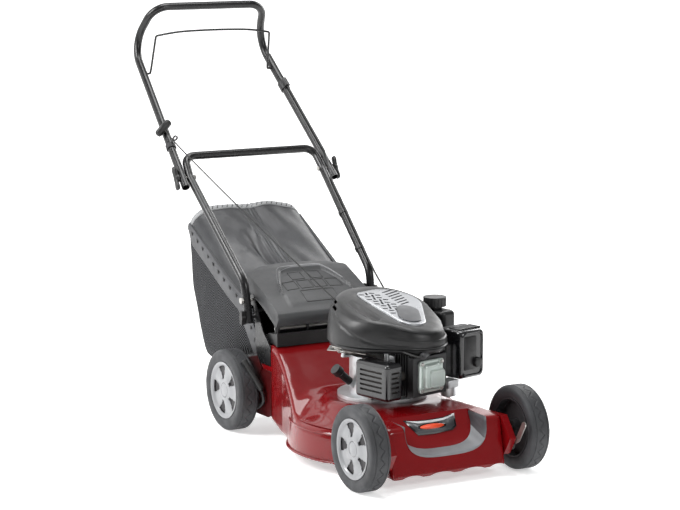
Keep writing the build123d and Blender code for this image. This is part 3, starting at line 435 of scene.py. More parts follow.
def joined(name, objects):
    """Several mesh objects as one."""
    work = bmesh.new()
    for obj in objects:
        work.from_mesh(obj.data)
        bpy.data.objects.remove(obj)
    mesh = bpy.data.meshes.new(name)
    work.to_mesh(mesh)
    work.free()
    return linked(name, mesh)


def modified(obj, kind, **settings):
    """Add a modifier with settings and bake it."""
    modifier = obj.modifiers.new(kind.lower(), kind)
    for key, value in settings.items():
        setattr(modifier, key, value)
    bake(obj)


def thicken(obj, thickness, offset=-1):
    """Give a sheet a thickness in millimetres, inwards unless told otherwise."""
    modified(obj, "SOLIDIFY", thickness=thickness * MM, offset=offset)


def boolean(obj, cutter, operation="DIFFERENCE"):
    """Boolean two objects and drop the cutter."""
    modified(obj, "BOOLEAN", object=cutter, operation=operation, solver="EXACT")
    bpy.data.objects.remove(cutter)


def round_rod(name, points, radius, material, body, hides=()):
    """A rod, cord or bead of a radius in millimetres along a smooth spline through control points."""
    curve = bpy.data.curves.new(name, "CURVE")
    curve.dimensions = "3D"
    curve.bevel_depth = radius * MM
    curve.bevel_resolution = 4
    curve.use_fill_caps = True
    spline = curve.splines.new("NURBS")
    spline.points.add(len(points) - 1)
    for point, co in zip(spline.points, points):
        point.co = (*co, 1)
    spline.order_u = 3
    spline.use_endpoint_u = True
    spline.resolution_u = 12
    attach(linked(name, curve), material, body, hides)


def ease(low, high, value):
    """0 below low, 1 above high, and a smooth step between."""
    share = max(0.0, min(1.0, (value - low) / (high - low)))
    return share * share * (3 - 2 * share)


make_camera()
make_stage()


# ---------------- deck
CHAMBER_R = 241
SKIRT_Z = 30
PLATE_Z = 156
DECK_VOXEL = 0.0036        # in metres
DECK_SHEET = 2
TUNNEL_STATIONS = [        # distance aft, half width, height in the middle, height at the edge
    (262, 236, 150, 98), (300, 234, 155, 106), (330, 228, 156.5, 118), (365, 217, 157, 141),
    (403, 205, 163, 163), (440, 194, 185, 183), (478, 183, 209, 207), (520, 175, 233, 230),
    (560, 169, 246.5, 243), (598, 168, 245, 242), (645, 168, 222, 218),
]


def ring_about(centre, radius, z, angles):
    """Points round an upright axis at a radius and a height, in millimetres."""
    return [centre + Vector((radius * MM * cos(a), radius * MM * sin(a), z * MM)) for a in angles]


def side_prism(name, outline, half):
    """A prism across the mower from (distance aft, z) points, to half on each side."""
    return prism(name, [at(-half, back, z) for back, z in outline], Vector((2 * half * MM, 0, 0)))


def plan_prism(name, outline, low, high):
    """An upright prism from (x, distance aft) points."""
    return prism(name, [at(x, back, low) for x, back in outline], Vector((0, 0, (high - low) * MM)))


def both_sides(outline):
    """An outline given for the left side, closed by its mirror on the right."""
    return outline + [(-x, y) for x, y in reversed(outline)]


def deck_nose():
    """The box between the front wheels, before its scoop is cut."""
    side = [(-44, 22), (-20, 139), (-8, 146), (62, 149), (130, 157), (240, 157), (240, 22)]
    body = side_prism("nose", side, 170)
    plan = both_sides([(161, -70), (161, 60), (112, 170), (112, 250)])
    boolean(body, plan_prism("nose_plan", plan, 0, 300), "INTERSECT")
    return body


SCOOP_HALF = 116
SCOOP_FLOOR = 67
SCOOP_TOP = 146
SCOOP_RISE = 0.30          # how fast the scoop's floor rises towards the rear


def scoop_line(steps, grow=0.0):
    """Points (x, z) of the scoop's rounded U at the nose's front, from the right rim to the left one."""
    line = []
    for n in range(steps + 1):
        turn = pi * n / steps
        x = -abs(cos(turn)) ** (2 / 3.4) * (1 if cos(turn) > 0 else -1)
        z = 1 - abs(sin(turn)) ** (2 / 3.4)
        line.append(((SCOOP_HALF - grow) * x, SCOOP_FLOOR + grow + (SCOOP_TOP - SCOOP_FLOOR) * z))
    return line


def nose_front(z):
    """How far behind the front axle the nose's leaning front stands at a height."""
    return -44 + 24 * (min(z, 139) - 22) / 117


def nose_slope(z):
    """How far behind the front axle the scoop's red slope stands at a height."""
    return 57 - (139.6 - z) / 1.096


def cut_nose(deck):
    """Cut the scoop into the nose and the waves into its lower edge."""
    start = -95
    outline = [at(x, start, z + (start - nose_front(z)) * SCOOP_RISE) for x, z in scoop_line(40)]
    outline = [at(-SCOOP_HALF, start, 240)] + outline + [at(SCOOP_HALF, start, 240)]
    cutter = prism("scoop", outline, Vector((0, 0.19, 0.19 * SCOOP_RISE)))
    slope = [(-94, 36), (nose_slope(40), 40), (nose_slope(172), 172), (86, 300), (-94, 300)]
    boolean(cutter, side_prism("slope", slope, 170), "INTERSECT")
    boolean(deck, cutter)
    for x, wide in ((-104, 34), (-22, 40), (66, 40), (138, 26)):
        lobe = [at(x + wide * sin(turn), -70, 18 + 13 * cos(turn)) for turn in turns(20)]
        boolean(deck, prism("wave", lobe, Vector((0, 0.07, 0))))


def make_deck():
    """The pressed deck: chamber, tunnel and nose blended into one thin sheet."""
    profile = [
        (CHAMBER_R, SKIRT_Z - 8), (CHAMBER_R - 1, 60), (CHAMBER_R - 3, 92), (CHAMBER_R - 8, 103),
        (CHAMBER_R - 22, 111), (185, 124), (160, 140), (146, 152), (138, PLATE_Z), (60, PLATE_Z + 0.5),
    ]
    middle = at(0, CRANK_BACK, 0)
    chamber = lofted("chamber", [ring_about(middle, radius, z, turns(96)) for radius, z in profile])
    rings = []
    for back, half, crown, edge in TUNNEL_STATIONS:
        arch = [(-1, 22), (-1, edge), (-0.93, edge + 3), (-0.72, edge + (crown - edge) * 0.6), (-0.5, crown)]
        rings.append([at(x * half, back, z) for x, z in arch + [(-x, z) for x, z in reversed(arch)]])
    tunnel = lofted("tunnel", rings)
    side = [(250, 22), (500, 32), (572, 48), (640, 190), (618, 236), (618, 300), (250, 300)]
    boolean(tunnel, side_prism("tunnel_side", side, 260), "INTERSECT")
    deck = joined("deck", [chamber, tunnel, deck_nose()])
    modified(deck, "REMESH", mode="VOXEL", voxel_size=DECK_VOXEL)
    modified(deck, "SMOOTH", factor=0.5, iterations=24)
    cut_nose(deck)
    with editing(deck) as work:
        doomed = [face for face in work.faces if under_deck(face)]
        bmesh.ops.delete(work, geom=doomed, context="FACES")
    thicken(deck, DECK_SHEET)
    dressed(deck, "paint", "deck", ["deck_shell"], crease=40)


def under_deck(face):
    """Whether a face of the deck's solid is on its open underside or its open rear."""
    centre = face.calc_center_median()
    back = (centre.y - FRONT_AXLE_Y) / MM
    z = centre.z / MM
    if face.normal.z < -0.5 and z < 60:
        return True
    return back > 560 and face.normal.y > 0.6 and 40 < z < 236 and abs(centre.x) < 0.162


def make_skirt_lip():
    """The rolled lip round the chamber's skirt, and the two pressed lines round its shoulder."""
    profile = [(236, 31), (245.5, 29.5), (246, 31), (245.5, 33), (240.5, 34.5), (237, 34)]
    middle = at(0, CRANK_BACK, 0)
    rings = []
    for n in range(121):
        angle = radians(-250 + 320 * n / 120)
        rings.append([ring_about(middle, radius, z, [angle])[0] for radius, z in profile])
    dressed(lofted("skirt_lip", rings), "paint", "deck")
    angles = [radians(-205 + 100 * n / 60) for n in range(61)]
    for name, reach, z, radius in (("upper", 224, 110.5, 1.6), ("lower", 236.5, 98, 1.8)):
        line = ring_about(middle, reach, z, angles)
        round_rod("deck_line_" + name, line, radius, "paint", "deck")


def make_bumper():
    """The grey strip that lines the scoop's floor and the dark plastic of its side walls."""
    line = scoop_line(72, 0.6)
    sections = []
    for x, z in line:
        front = nose_front(z)
        middle = front + 6
        lift = 7 * (1 - ease(60, 118, abs(x)))
        rear = min(58, (nose_slope(z) - front * SCOOP_RISE / 1.096) / (1 - SCOOP_RISE / 1.096))
        rise = min((rear - front) * SCOOP_RISE, SCOOP_TOP - z)
        sections.append([
            at(x, front - 1, z - 0.5), at(x * 0.995, front - 0.5, z + lift * 0.8),
            at(x * 0.99, middle, z + lift), at(x * 0.985, rear - 1, z + rise + 1.5),
            at(x, rear - 1, z + rise - 0.3), at(x, middle, z + 0.5),
        ])
    floor = [n for n, (x, z) in enumerate(line) if abs(x) < 108]
    strip = lofted("bumper_strip", [sections[n] for n in floor])
    dressed(strip, "strip_grey", "deck", ["front_bumper"], crease=30)
    for name, picked in (("right", range(0, floor[0] + 1)), ("left", range(floor[-1], len(line)))):
        wall = lofted("bumper_wall_" + name, [sections[n] for n in picked])
        dressed(wall, "grey_plastic", "deck")


def on_slope(x, z, lift):
    """A point lifted off the scoop's red slope at an x and a height."""
    return at(x, nose_slope(z) - lift * 0.74, z + lift * 0.67)


def oval(middle, half_x, half_z, count):
    """Points (x, z) of an oval."""
    return [(middle[0] + half_x * cos(turn), middle[1] + half_z * sin(turn)) for turn in turns(count)]


def badge_layer(name, outline, low, high, material):
    """A flat layer of the badge, from an outline of (x, z) points."""
    rings = [[on_slope(x, z, lift) for x, z in outline] for lift in (low, high)]
    dressed(lofted(name, rings), material, "deck")


def make_badge():
    """The blank badge on the slope: a dark trapezoid with a light upper band and an orange oval."""
    rim = [(-73, 141), (-40, 137.5), (0, 136.5), (40, 138), (73, 143), (66, 117), (52, 110), (0, 107)]
    rim += [(-48, 108)]
    inner = [(x * 0.93, 125 + (z - 125) * 0.84) for x, z in rim]
    band = [(-67, 138.6), (-36, 135.4), (0, 134.4), (36, 135.8), (67, 140), (66, 136.8), (36, 131.4)]
    band += [(0, 130), (-36, 131)]
    badge_layer("badge_rim", rim, -1, 1.6, "gloss_black")
    badge_layer("badge_plate", inner, 1.0, 2.2, "badge_grey")
    badge_layer("badge_band", band, 1.0, 2.6, "white")
    badge_layer("badge_ring", oval((-2, 122), 40, 7.5, 32), 1.0, 2.8, "gloss_black")
    badge_layer("badge_oval", oval((-2, 122), 34, 5, 32), 1.0, 3.4, "orange")


make_deck()
make_skirt_lip()
make_bumper()
make_badge()


# ---------------- wheels
TREAD_TEETH = 22
SPOKES = 5
RIM_SHARE = 0.70           # of the wheel's radius


def tyre_radius(across, turn, radius, half):
    """The tyre's radius at a distance from its middle, with shoulder and tread grooves."""
    edge = abs(across) / half
    fall = 0.0 if edge < 0.62 else (edge - 0.62) ** 2 * 46
    local = radius - 0.3 - fall
    phase = (turn * TREAD_TEETH / (2 * pi)) % 1
    zigzag = (abs(phase - 0.5) * 2 - 0.5) * 0.5 * half
    if abs(across - zigzag) < 1.5:
        local -= 1.6
    if abs(abs(across) - 0.62 * half) < 1.0:
        local -= 1.5
    return local


def wheel_point(centre, x, radius, turn):
    """A point beside a wheel's middle, at a radius and an angle about its axle."""
    return centre + Vector((x * MM, radius * MM * cos(turn), radius * MM * sin(turn)))


def make_tyre(name, centre, radius, width, outward):
    """A tyre with rounded shoulders, a zig-zag groove and two ring grooves."""
    half = width / 2
    across = [half * (n / 22 - 1) for n in range(45)]
    inner = radius * RIM_SHARE + 0.3
    rings = []
    for turn in turns(TREAD_TEETH * 14):
        section = [(-half + 4, inner), (-half + 0.5, inner + 5), (-half, radius * 0.86)]
        section += [(a * 0.995, tyre_radius(a, turn, radius, half)) for a in across]
        section += [(half, radius * 0.86), (half - 0.5, inner + 5), (half - 4, inner)]
        rings.append([wheel_point(centre, outward * a, r, turn) for a, r in section])
    tyre = surface(name + "_tyre_tread", rings, wrapped=True)
    dressed(tyre, "tyre", name + "_wheel", [name + "_tyre"], crease=40)


def disc_depth(share, turn):
    """How far the wheel disc's face stands in from its rim, in millimetres, at a share of its radius."""
    bowl = 7.5 * ease(0.97, 0.80, share) - 4.5 * ease(0.62, 0.30, share)
    phase = (turn * SPOKES / (2 * pi)) % 1
    crown = 1.6 * (1 - min(1, abs(phase - 0.5) / 0.33) ** 2)
    groove = 1.8 if 0.235 < share < 0.265 else 0.0
    cap = -1.5 * ease(0.24, 0.05, share)
    return bowl - crown * ease(0.3, 0.5, share) * ease(0.95, 0.8, share) + groove + cap


def make_rim(name, centre, radius, width, outward):
    """A silver wheel disc with five broad crowned spokes and five windows, on a drum."""
    rim = radius * RIM_SHARE
    columns = SPOKES * 24
    shares = [
        0.02, 0.08, 0.15, 0.22, 0.235, 0.25, 0.265, 0.30, 0.36, 0.40, 0.46, 0.54, 0.62, 0.70, 0.78, 0.82,
        0.86, 0.90, 0.94, 0.97, 1.0,
    ]
    face_x = width / 2 - 1.5
    points = [
        wheel_point(centre, outward * (face_x - disc_depth(share, turn)), share * rim, turn)
        for share in shares for turn in turns(columns)
    ]

    def in_window(row, column):
        """Whether a face of the disc lies in one of its windows."""
        phase = (column + 0.5) / 24 % 1
        off = min(phase, 1 - phase)
        share = (shares[row] + shares[row + 1]) / 2
        return 0.38 < share < 0.86 and off < 0.10 + 0.26 * (share - 0.38)

    disc = raw_object(name + "_disc", points, grid_faces(len(shares), columns, False, True, in_window))
    with editing(disc) as work:
        work.verts.ensure_lookup_table()
        work.faces.new([work.verts[n] for n in range(columns)])
    recalc(disc)
    thicken(disc, 5)
    modified(disc, "BEVEL", width=0.0011, segments=2, limit_method="ANGLE", angle_limit=radians(40))
    dressed(disc, "rim", name + "_wheel", [name + "_rim"], crease=50)
    drum = [
        (face_x - 9, 12), (face_x - 9, rim - 3), (face_x - 1.5, rim - 0.8), (face_x - 1.5, rim + 0.2),
        (2 - width / 2, rim + 0.2), (2 - width / 2, rim - 3), (-2, rim - 4), (-4, 20), (3 - width / 2, 19),
        (3 - width / 2, 7.2), (face_x - 9, 7.2),
    ]
    rings = [[wheel_point(centre, outward * x, r, turn) for x, r in drum] for turn in turns(72)]
    barrel = surface(name + "_drum", rings, wrapped=True)
    dressed(barrel, "drum", name + "_wheel", crease=40)


for end, track, back, size, width in (("front", 224.5, 0, 105, 52), ("rear", 213.5, 705, 107.5, 55)):
    for side, hand in SIDES:
        wheel = (end + "_" + hand, at(side * track, back, size), size, width, side)
        make_tyre(*wheel)
        make_rim(*wheel)


# ---------------- rear height lever
REAR_BAR = (685, 69.5)


def circle_about(centre, axis, radius, count):
    """Points of a circle, its radius in millimetres, across an axis."""
    side = axis.orthogonal().normalized()
    other = axis.cross(side)
    return [centre + (side * cos(turn) + other * sin(turn)) * (radius * MM) for turn in turns(count)]


def make_rear_lever():
    """The bent steel height lever by the right rear wheel and its ribbed rubber sleeve."""
    path = [(-176, *REAR_BAR), (-178, 640, 62), (-179, 590, 88), (-181, 585, 112), (-194, 604, 146)]
    path += [(-213, 632, 196)]
    round_rod("height_lever", [at(*p) for p in path], 4, "dark_cast", "rear_axle_crank",
              ["rear_height_lever"])
    foot, top = at(-184.5, 590, 125), at(-215, 634, 199)
    rings = []
    for n in range(33):
        radius = (7.2 + (0.8 if n % 2 else 0)) * (1 if 0 < n < 32 else 0.75)
        rings.append(circle_about(foot.lerp(top, n / 32), (top - foot).normalized(), radius, 24))
    hides = ["rear_lever_sleeve"]
    dressed(lofted("height_sleeve", rings), "rubber", "rear_axle_crank", hides)


make_rear_lever()


# ---------------- engine shroud
SHROUD_Z = 300
SHROUD_TOP = 388
SHROUD_TILT = radians(14.5)
SHROUD_CIRCLES = [((0, 4), 138), ((12, -100), 84)]
GRILLE_CIRCLES = [((36, 2), 74), ((0, -100), 40), ((-14, 54), 20)]


def outermost(circles, grow, turn):
    """The point, in millimetres, of the line stretched round some circles that faces this way."""
    reach = [(c[0] * cos(turn) + c[1] * sin(turn) + r, c, r) for c, r in circles]
    _, centre, radius = max(reach)
    return Vector((centre[0] + (radius + grow) * cos(turn), centre[1] + (radius + grow) * sin(turn)))


def stretched(lines, count):
    """Matching points of lines round (circles, grow), spaced evenly along the first line."""
    dense = [[outermost(circles, grow, turn) for turn in turns(720)] for circles, grow in lines]
    lengths = [(dense[0][(n + 1) % 720] - dense[0][n]).length for n in range(720)]
    total = sum(lengths)
    rows, walked, index = [], 0.0, 0
    for n in range(count):
        goal = total * n / count
        while walked + lengths[index] < goal:
            walked += lengths[index]
            index += 1
        share = (goal - walked) / lengths[index] if lengths[index] else 0
        rows.append([line[index].lerp(line[(index + 1) % 720], share) for line in dense])
    return rows


def hull(circles, grow, count):
    """Evenly spaced points of the line stretched round some circles."""
    return [row[0] for row in stretched([(circles, grow)], count)]


def slope_z(y):
    """Height of the shroud's sloping top at a distance behind the crankshaft."""
    return SHROUD_TOP + y * tan(SHROUD_TILT)


def shroud_groove(n, count, share):
    """Depth of the style line that sweeps down the shroud's sides to the front, and of its front ledge."""
    front = abs(((n / count * 360) - 270 + 180) % 360 - 180)
    line = 0.10 + 0.70 * ease(48, 150, front)
    step = 1.2 * ease(line - 0.04, line + 0.04, share)
    ledge = 3.5 * ease(0.42, 0.50, share) * ease(62, 30, front)
    return ledge + (2.6 if abs(share - line) < 0.035 else step)


def shroud_recess(x, y):
    """Depth of the oblong recess pressed into the cover's right shoulder."""
    off = hypot(x + 80 - 0.06 * y, max(0, abs(y + 18) - 44))
    return 5.5 * ease(11, 7.5, off)


def make_shroud():
    """The moulded engine cover: steep sides that round over into a sloping top."""
    count = 216
    pairs = stretched([(SHROUD_CIRCLES, 0), (GRILLE_CIRCLES, 5)], count)
    rings = []
    for level in range(45):
        turn = pi / 2 * level / 44
        share = sin(turn) ** 0.92
        blend = 1 - cos(turn) ** 0.75 if level < 44 else 1.0
        blend = 0.03 * share + 0.97 * blend ** 1.35
        ring = []
        for n, (outer, inner) in enumerate(pairs):
            groove = shroud_groove(n, count, share) if 0.03 < share < 0.85 else 0
            p = outer.lerp(inner, blend)
            scale = 1 - groove / 130
            x, y = p.x * scale, (p.y + 30) * scale - 30
            z = SHROUD_Z + share * (slope_z(y) - SHROUD_Z)
            ring.append(engine(x, y, z - shroud_recess(x, y)))
        rings.append(ring)
    for inset in (8, 20):
        rings.append([engine(p.x, p.y, slope_z(p.y) - 2) for p in hull(GRILLE_CIRCLES, -inset, count)])
    shroud = lofted("engine_cover", rings, cap_first=False)
    thicken(shroud, 2.5)
    cut_shroud_slots(shroud)
    dressed(shroud, "shroud", "deck", ["engine_shroud"], crease=50)


def slab(name, centre, along, across, length, width, height):
    """A rounded slot-shaped cutter that stands on a surface."""
    up = along.cross(across)
    outline = []
    for turn in turns(12):
        offset = along * ((length - width) / 2 * (1 if cos(turn) > 0 else -1) + width / 2 * cos(turn))
        outline.append(centre + offset + across * (width / 2 * sin(turn)) - up * height / 2)
    return prism(name, outline, up * height)


def cut_shroud_slots(shroud):
    """Two dark slots at the cover's right rear."""
    cutters = []
    for x, y, z in ((-98, 68, 374), (-80, 84, 384)):
        along = (engine(0.35, 1, 0.5) - engine(0, 0, 0)).normalized()
        up = Vector((-0.5, 0.1, 0.86)).normalized()
        across = up.cross(along).normalized()
        cutters.append(slab("slot", engine(x, y, z), along, across, 0.032, 0.008, 0.06))
    boolean(shroud, joined("slots", cutters))


def slope_ring(circles, inset, count, lift):
    """Points on the shroud's sloping top, inside the line stretched round some circles."""
    points = [(p.x, p.y * cos(SHROUD_TILT)) for p in hull(circles, -inset, count)]
    return [engine(x, y, slope_z(y) + lift) for x, y in points]


def make_grille():
    """The silver grille: a teardrop plate with zig-zag slots on one side and long slots on the other."""
    normal = (engine(0, -sin(SHROUD_TILT) * 1000, cos(SHROUD_TILT) * 1000) - engine(0, 0, 0)).normalized()
    edge = ((-1, -2.0), (0, 2.2), (2.5, 3.2), (6, 2.6), (10, 2.4))
    grille = lofted("grille_plate", [slope_ring(GRILLE_CIRCLES, inset, 96, lift) for inset, lift in edge])
    cutters = []
    for row in range(9):
        for n in range(3):
            u = -22 + 17 * n + (8 if row % 2 else 0)
            v = 58 - 15 * row
            if v < -70 and u > 10:
                continue
            cutters.append(grille_slot(u, v, 16, 6.5, 1.1 if n % 2 else -0.35, normal))
    for n in range(7):
        cutters.append(grille_slot(70 - 2.5 * n, 56 - 13 * n, 54 - 3 * n, 5, 0.18, normal))
    boolean(grille, joined("grille_slots", cutters))
    dressed(grille, "silver", "deck", ["shroud_grille"], crease=30)
    circles = [((28, -62), 30), ((2, -98), 30)]
    badge = [slope_ring(circles, inset, 64, lift) for inset, lift in ((0, 2.0), (1, 4.4), (3, 4.8))]
    dressed(lofted("grille_badge", badge), "badge_grey", "deck")


def grille_slot(u, v, length, width, turn, normal):
    """One slot cutter at (u, v) millimetres on the sloping top."""
    y = v * cos(SHROUD_TILT)
    centre = engine(u, y, slope_z(y) + 2)
    right = (engine(1, 0, 0) - engine(0, 0, 0)).normalized()
    ahead = normal.cross(right)
    along = right * cos(turn) + ahead * sin(turn)
    return slab("slot", centre, along, normal.cross(along), length * MM, width * MM, 0.02)


make_shroud()
make_grille()


# ---------------- engine details
HEAD_Z = 231
COVER_FACE = -168
FILTER_MIDDLE = (148, 264.5)


def rounded_outline(width, height, radius, steps=6):
    """Points (x, z) of a rounded rectangle about its middle."""
    outline = []
    for corner, (sx, sz) in enumerate(((1, 1), (-1, 1), (-1, -1), (1, -1))):
        for n in range(steps + 1):
            turn = pi / 2 * (corner + n / steps)
            x = sx * (width / 2 - radius) + radius * cos(turn)
            outline.append((x, sz * (height / 2 - radius) + radius * sin(turn)))
    return outline


def faceplate(name, middle, sections, material, hides=()):
    """A moulded block on the engine's front through (y, width, height, corner radius) sections."""
    rings = []
    for y, width, height, radius in sections:
        outline = rounded_outline(width, height, radius)
        rings.append([engine(middle[0] + x, y, middle[1] + z) for x, z in outline])
    dressed(lofted(name, rings), material, "deck", hides, crease=40)


def knob(name, centre, radius, length, material):
    """A short round boss with a rounded end on the engine's front."""
    rings = []
    for along, share in ((0, 1), (0.75, 1), (0.92, 0.92), (1, 0.7)):
        middle = centre + ENGINE_AHEAD * (length * along * MM)
        rings.append(circle_about(middle, ENGINE_AHEAD, radius * share, 28))
    dressed(lofted(name, rings), material, "deck", crease=40)


def make_valve_cover():
    """The cast valve cover: a stepped frame with corner bosses and a blank raised block."""
    front = COVER_FACE
    faceplate("cover_frame", (0, HEAD_Z), [
        (front, 80, 80, 9), (front - 5, 80, 80, 9), (front - 6.5, 76, 76, 8), (front - 6.5, 68, 70, 9),
        (front - 5, 65, 67, 9), (front - 5, 62, 64, 9), (front - 14, 57, 60, 10), (front - 16, 53, 56, 10),
        (front - 16, 49, 52, 9), (front - 13.5, 46, 49, 8),
    ], "cover_alloy", hides=["valve_cover"])
    faceplate("cover_block", (12, HEAD_Z - 7), [
        (front - 12, 52, 47, 8), (front - 17, 49, 44, 9), (front - 19, 46, 41, 9), (front - 19, 41, 36, 7),
        (front - 18, 39, 34, 6),
    ], "cover_alloy")
    for x in (-33, 33):
        for z in (-33, 33):
            name = "cover_boss_%d_%d" % (x > 0, z > 0)
            knob(name, engine(x, front - 4, HEAD_Z + z), 7.5, 4.5, "cover_alloy")
            knob(name + "_bolt", engine(x, front - 8, HEAD_Z + z), 4.6, 3.6, "zinc")


def make_air_filter():
    """The air filter's rounded black cover: a deep rim, a flat panel, a vented top and a round knob."""
    faceplate("filter_cover", FILTER_MIDDLE, [
        (-112.3, 84, 123, 7), (-140, 84, 123, 7), (-144, 82, 121, 7), (-147, 84, 123, 8), (-160, 84, 123, 10),
        (-168, 80, 119, 13), (-172, 72, 111, 13), (-172, 66, 105, 12), (-168.5, 62, 101, 11),
    ], "gloss_black", hides=["air_filter_cover"])
    faceplate("filter_panel", (FILTER_MIDDLE[0] - 8, FILTER_MIDDLE[1] + 3), [
        (-168, 44, 86, 5), (-170, 43, 85, 5), (-171, 40, 82, 5),
    ], "black_plastic")
    middle = engine(FILTER_MIDDLE[0] + 14, -168, FILTER_MIDDLE[1] - 22)
    knob("filter_knob", middle, 13, 12, "black_plastic")
    vents = []
    for n in range(7):
        foot = engine(114 + 11 * n, -120, 323)
        outline = [foot + Vector((x, 0, z)) for x, z in ((0, 0), (0.006, 0), (0.007, 0.006), (0.001, 0.006))]
        vents.append(prism("vent", outline, engine(0, -158, 0) - engine(0, -120, 0)))
    dressed(joined("filter_vents", vents), "black_plastic", "deck")


def linkage(name, points, radius, material="zinc", hides=()):
    """A bent rod or moulded boot on the engine, through points of its own axes."""
    round_rod(name, [engine(*p) for p in points], radius, material, "deck", hides)


def make_engine_bits():
    """Spark plug boot, filler tube, governor rods and spring, and the dark pan under the cover."""
    boot = [(4, -158, 287), (-14, -166, 288), (-34, -178, 284)]
    lead = [boot[-1], (-50, -176, 284), (-58, -150, 290), (-60, -120, 296)]
    sleeve = [(-92, 23.4, 198), (-105, 25.4, 209), (-119, 27.5, 221.5)]
    linkage("plug_boot", boot, 8.5, "rail_grey", ["spark_plug"])
    linkage("plug_lead", lead, 3, "rubber")
    linkage("filler_sleeve", sleeve, 10.5, "black_plastic")
    linkage("governor_rod", [(-142, 34, 292), (-120, -8, 287), (-90, -44, 285), (-70, -80, 283)], 1.8)
    linkage("governor_link", [(-128, 40, 284), (-112, 0, 280), (-96, -40, 277)], 1.6)
    coil = []
    for n in range(97):
        turn = 2 * pi * n / 8
        share = n / 96
        coil.append((-134 + 24 * share + 3.6 * cos(turn), 20 - 34 * share, 281 + 3.6 * sin(turn)))
    linkage("governor_spring", coil, 0.9)
    rings = []
    for inset, z in ((7, 301), (7, 288), (24, 284), (70, 284)):
        rings.append([engine(p.x, p.y, z) for p in hull(SHROUD_CIRCLES, -inset, 96)])
    pan = lofted("blower_pan", rings, False, False)
    thicken(pan, 1.5, offset=0)
    dressed(pan, "black_plastic", "deck")


make_valve_cover()
make_air_filter()
make_engine_bits()


# ---------------- handle details
FOLD_BACK = 967
FOLD_Z = 641
ROPE_ROUTE = [
    (-82, 374, 386.3), (-128, 610, 502), (-176, 850, 626), (-214, 1022, 722), (-223, 1052, 744),
    (-230, 1075, 763),
]
BAIL_HALF = [             # from the left pivot to the middle of the bar
    (207, 1262, 900), (188, 1262, 900), (184, 1261, 901), (181.5, 1249, 949), (178.5, 1236, 1001),
    (177, 1235, 1006.5), (170, 1234.6, 1008), (130, 1233, 1014), (90, 1232, 1017.5), (0, 1231, 1019),
]


def make_rope_and_bail():
    """The starter rope from the shroud to its grip, and the bent rod of the bail."""
    rope = [at(*p) for p in ROPE_ROUTE]
    round_rod("starter_line", rope, 1.8, "cord", "deck", ["starter_rope"])
    bail = [at(*p) for p in BAIL_HALF] + [at(-x, back, z) for x, back, z in reversed(BAIL_HALF[:-1])]
    round_rod("bail_rod", bail, 3, "satin_black", "bail_bar", ["bail"])


def make_grip():
    """The starter grip: a thick rounded handle across the rope's end."""
    middle, reach = Vector((-230, 1080, 766)), Vector((0.72, 0, 0.69))
    across = Vector((-0.69, 0, 0.72))
    depth = Vector((0, 0.8, 0))
    rings = []
    for along, half in ((-27, 4), (-25.5, 8), (-21, 10.5), (0, 11.5), (21, 10.5), (25.5, 8), (27, 4)):
        centre = middle + reach * along
        ring = [centre + (across * cos(turn) + depth * sin(turn)) * half for turn in turns(20)]
        rings.append([at(*p) for p in ring])
    dressed(lofted("starter_handle", rings), "black_plastic", "pull_grip", ["starter_grip"])


def make_wing_knob(name, side, body):
    """A wing knob: a round hub with two thick rounded paddles."""
    hub = []
    for x, radius in ((239.8, 11), (247, 11), (249.5, 9.5), (251.2, 6)):
        circle = oval((FOLD_BACK, FOLD_Z), radius, radius, 28)
        hub.append([at(side * x, back, z) for back, z in circle])
    parts = [lofted("hub", hub)]
    paddle = ((5, 8, 5.4), (14, 9, 5.2), (22, 11.5, 5.2), (28, 11, 5), (32, 8, 4), (33, 3, 2.4))
    for lean in (radians(62), radians(242)):
        rings = []
        for reach, half, thick in paddle:
            section = [(247.2 + thick * sin(turn), half * cos(turn)) for turn in turns(20)]
            rings.append([
                at(side * x, FOLD_BACK + reach * cos(lean) - off * sin(lean),
                   FOLD_Z + reach * sin(lean) + off * cos(lean)) for x, off in section
            ])
        parts.append(lofted("paddle", rings))
    dressed(joined(name + "_visual", parts), "black_plastic", body, [name], crease=50)


def make_side_plates():
    """The red plates that fill the corner between the housing's shoulder and the rear wheels, coloured a
    darker red as painted shade.
    """
    outline = [(694, 192), (640, 206), (612, 178), (637, 143), (660, 112), (702, 90)]
    for side, name in SIDES:
        inner = [at(side * 169.5, back, z) for back, z in outline]
        plate = prism("side_plate_" + name, inner, Vector((side * 0.002, 0, 0)))
        # The darker red is painted shade.
        dressed(plate, "painted_shade_red", "deck", crease=40)


make_rope_and_bail()
make_grip()
for side, hand in SIDES:
    make_wing_knob("wing_knob_" + hand, side, hand + "_wing")
make_side_plates()


# ---------------- rear flap
FLAP_HALF = 161
FLAP_LINE = [               # (distance aft, z) from the hinge to the rear edge
    (556, 316), (563, 326), (580, 336), (629, 363), (690, 389), (720, 401), (745, 410), (772, 416),
]
ARCH_HALF = 0.66


def along_line(points, share):
    """The point at a share of a polyline's length."""
    lengths = [hypot(b[0] - a[0], b[1] - a[1]) for a, b in zip(points, points[1:])]
    goal = share * sum(lengths)
    for (a, b), length in zip(zip(points, points[1:]), lengths):
        if goal <= length:
            t = goal / length
            return a[0] + (b[0] - a[0]) * t, a[1] + (b[1] - a[1]) * t
        goal -= length
    return points[-1]


def arch_offset(u, v):
    """Distance, in shares of the flap, of a point from the arched grip's centre line."""
    legs = max(abs(u) - 0.36, 0) / 0.26
    top = 0.80 - 0.34 * legs ** 1.6
    return v - top if abs(u) < ARCH_HALF else 1


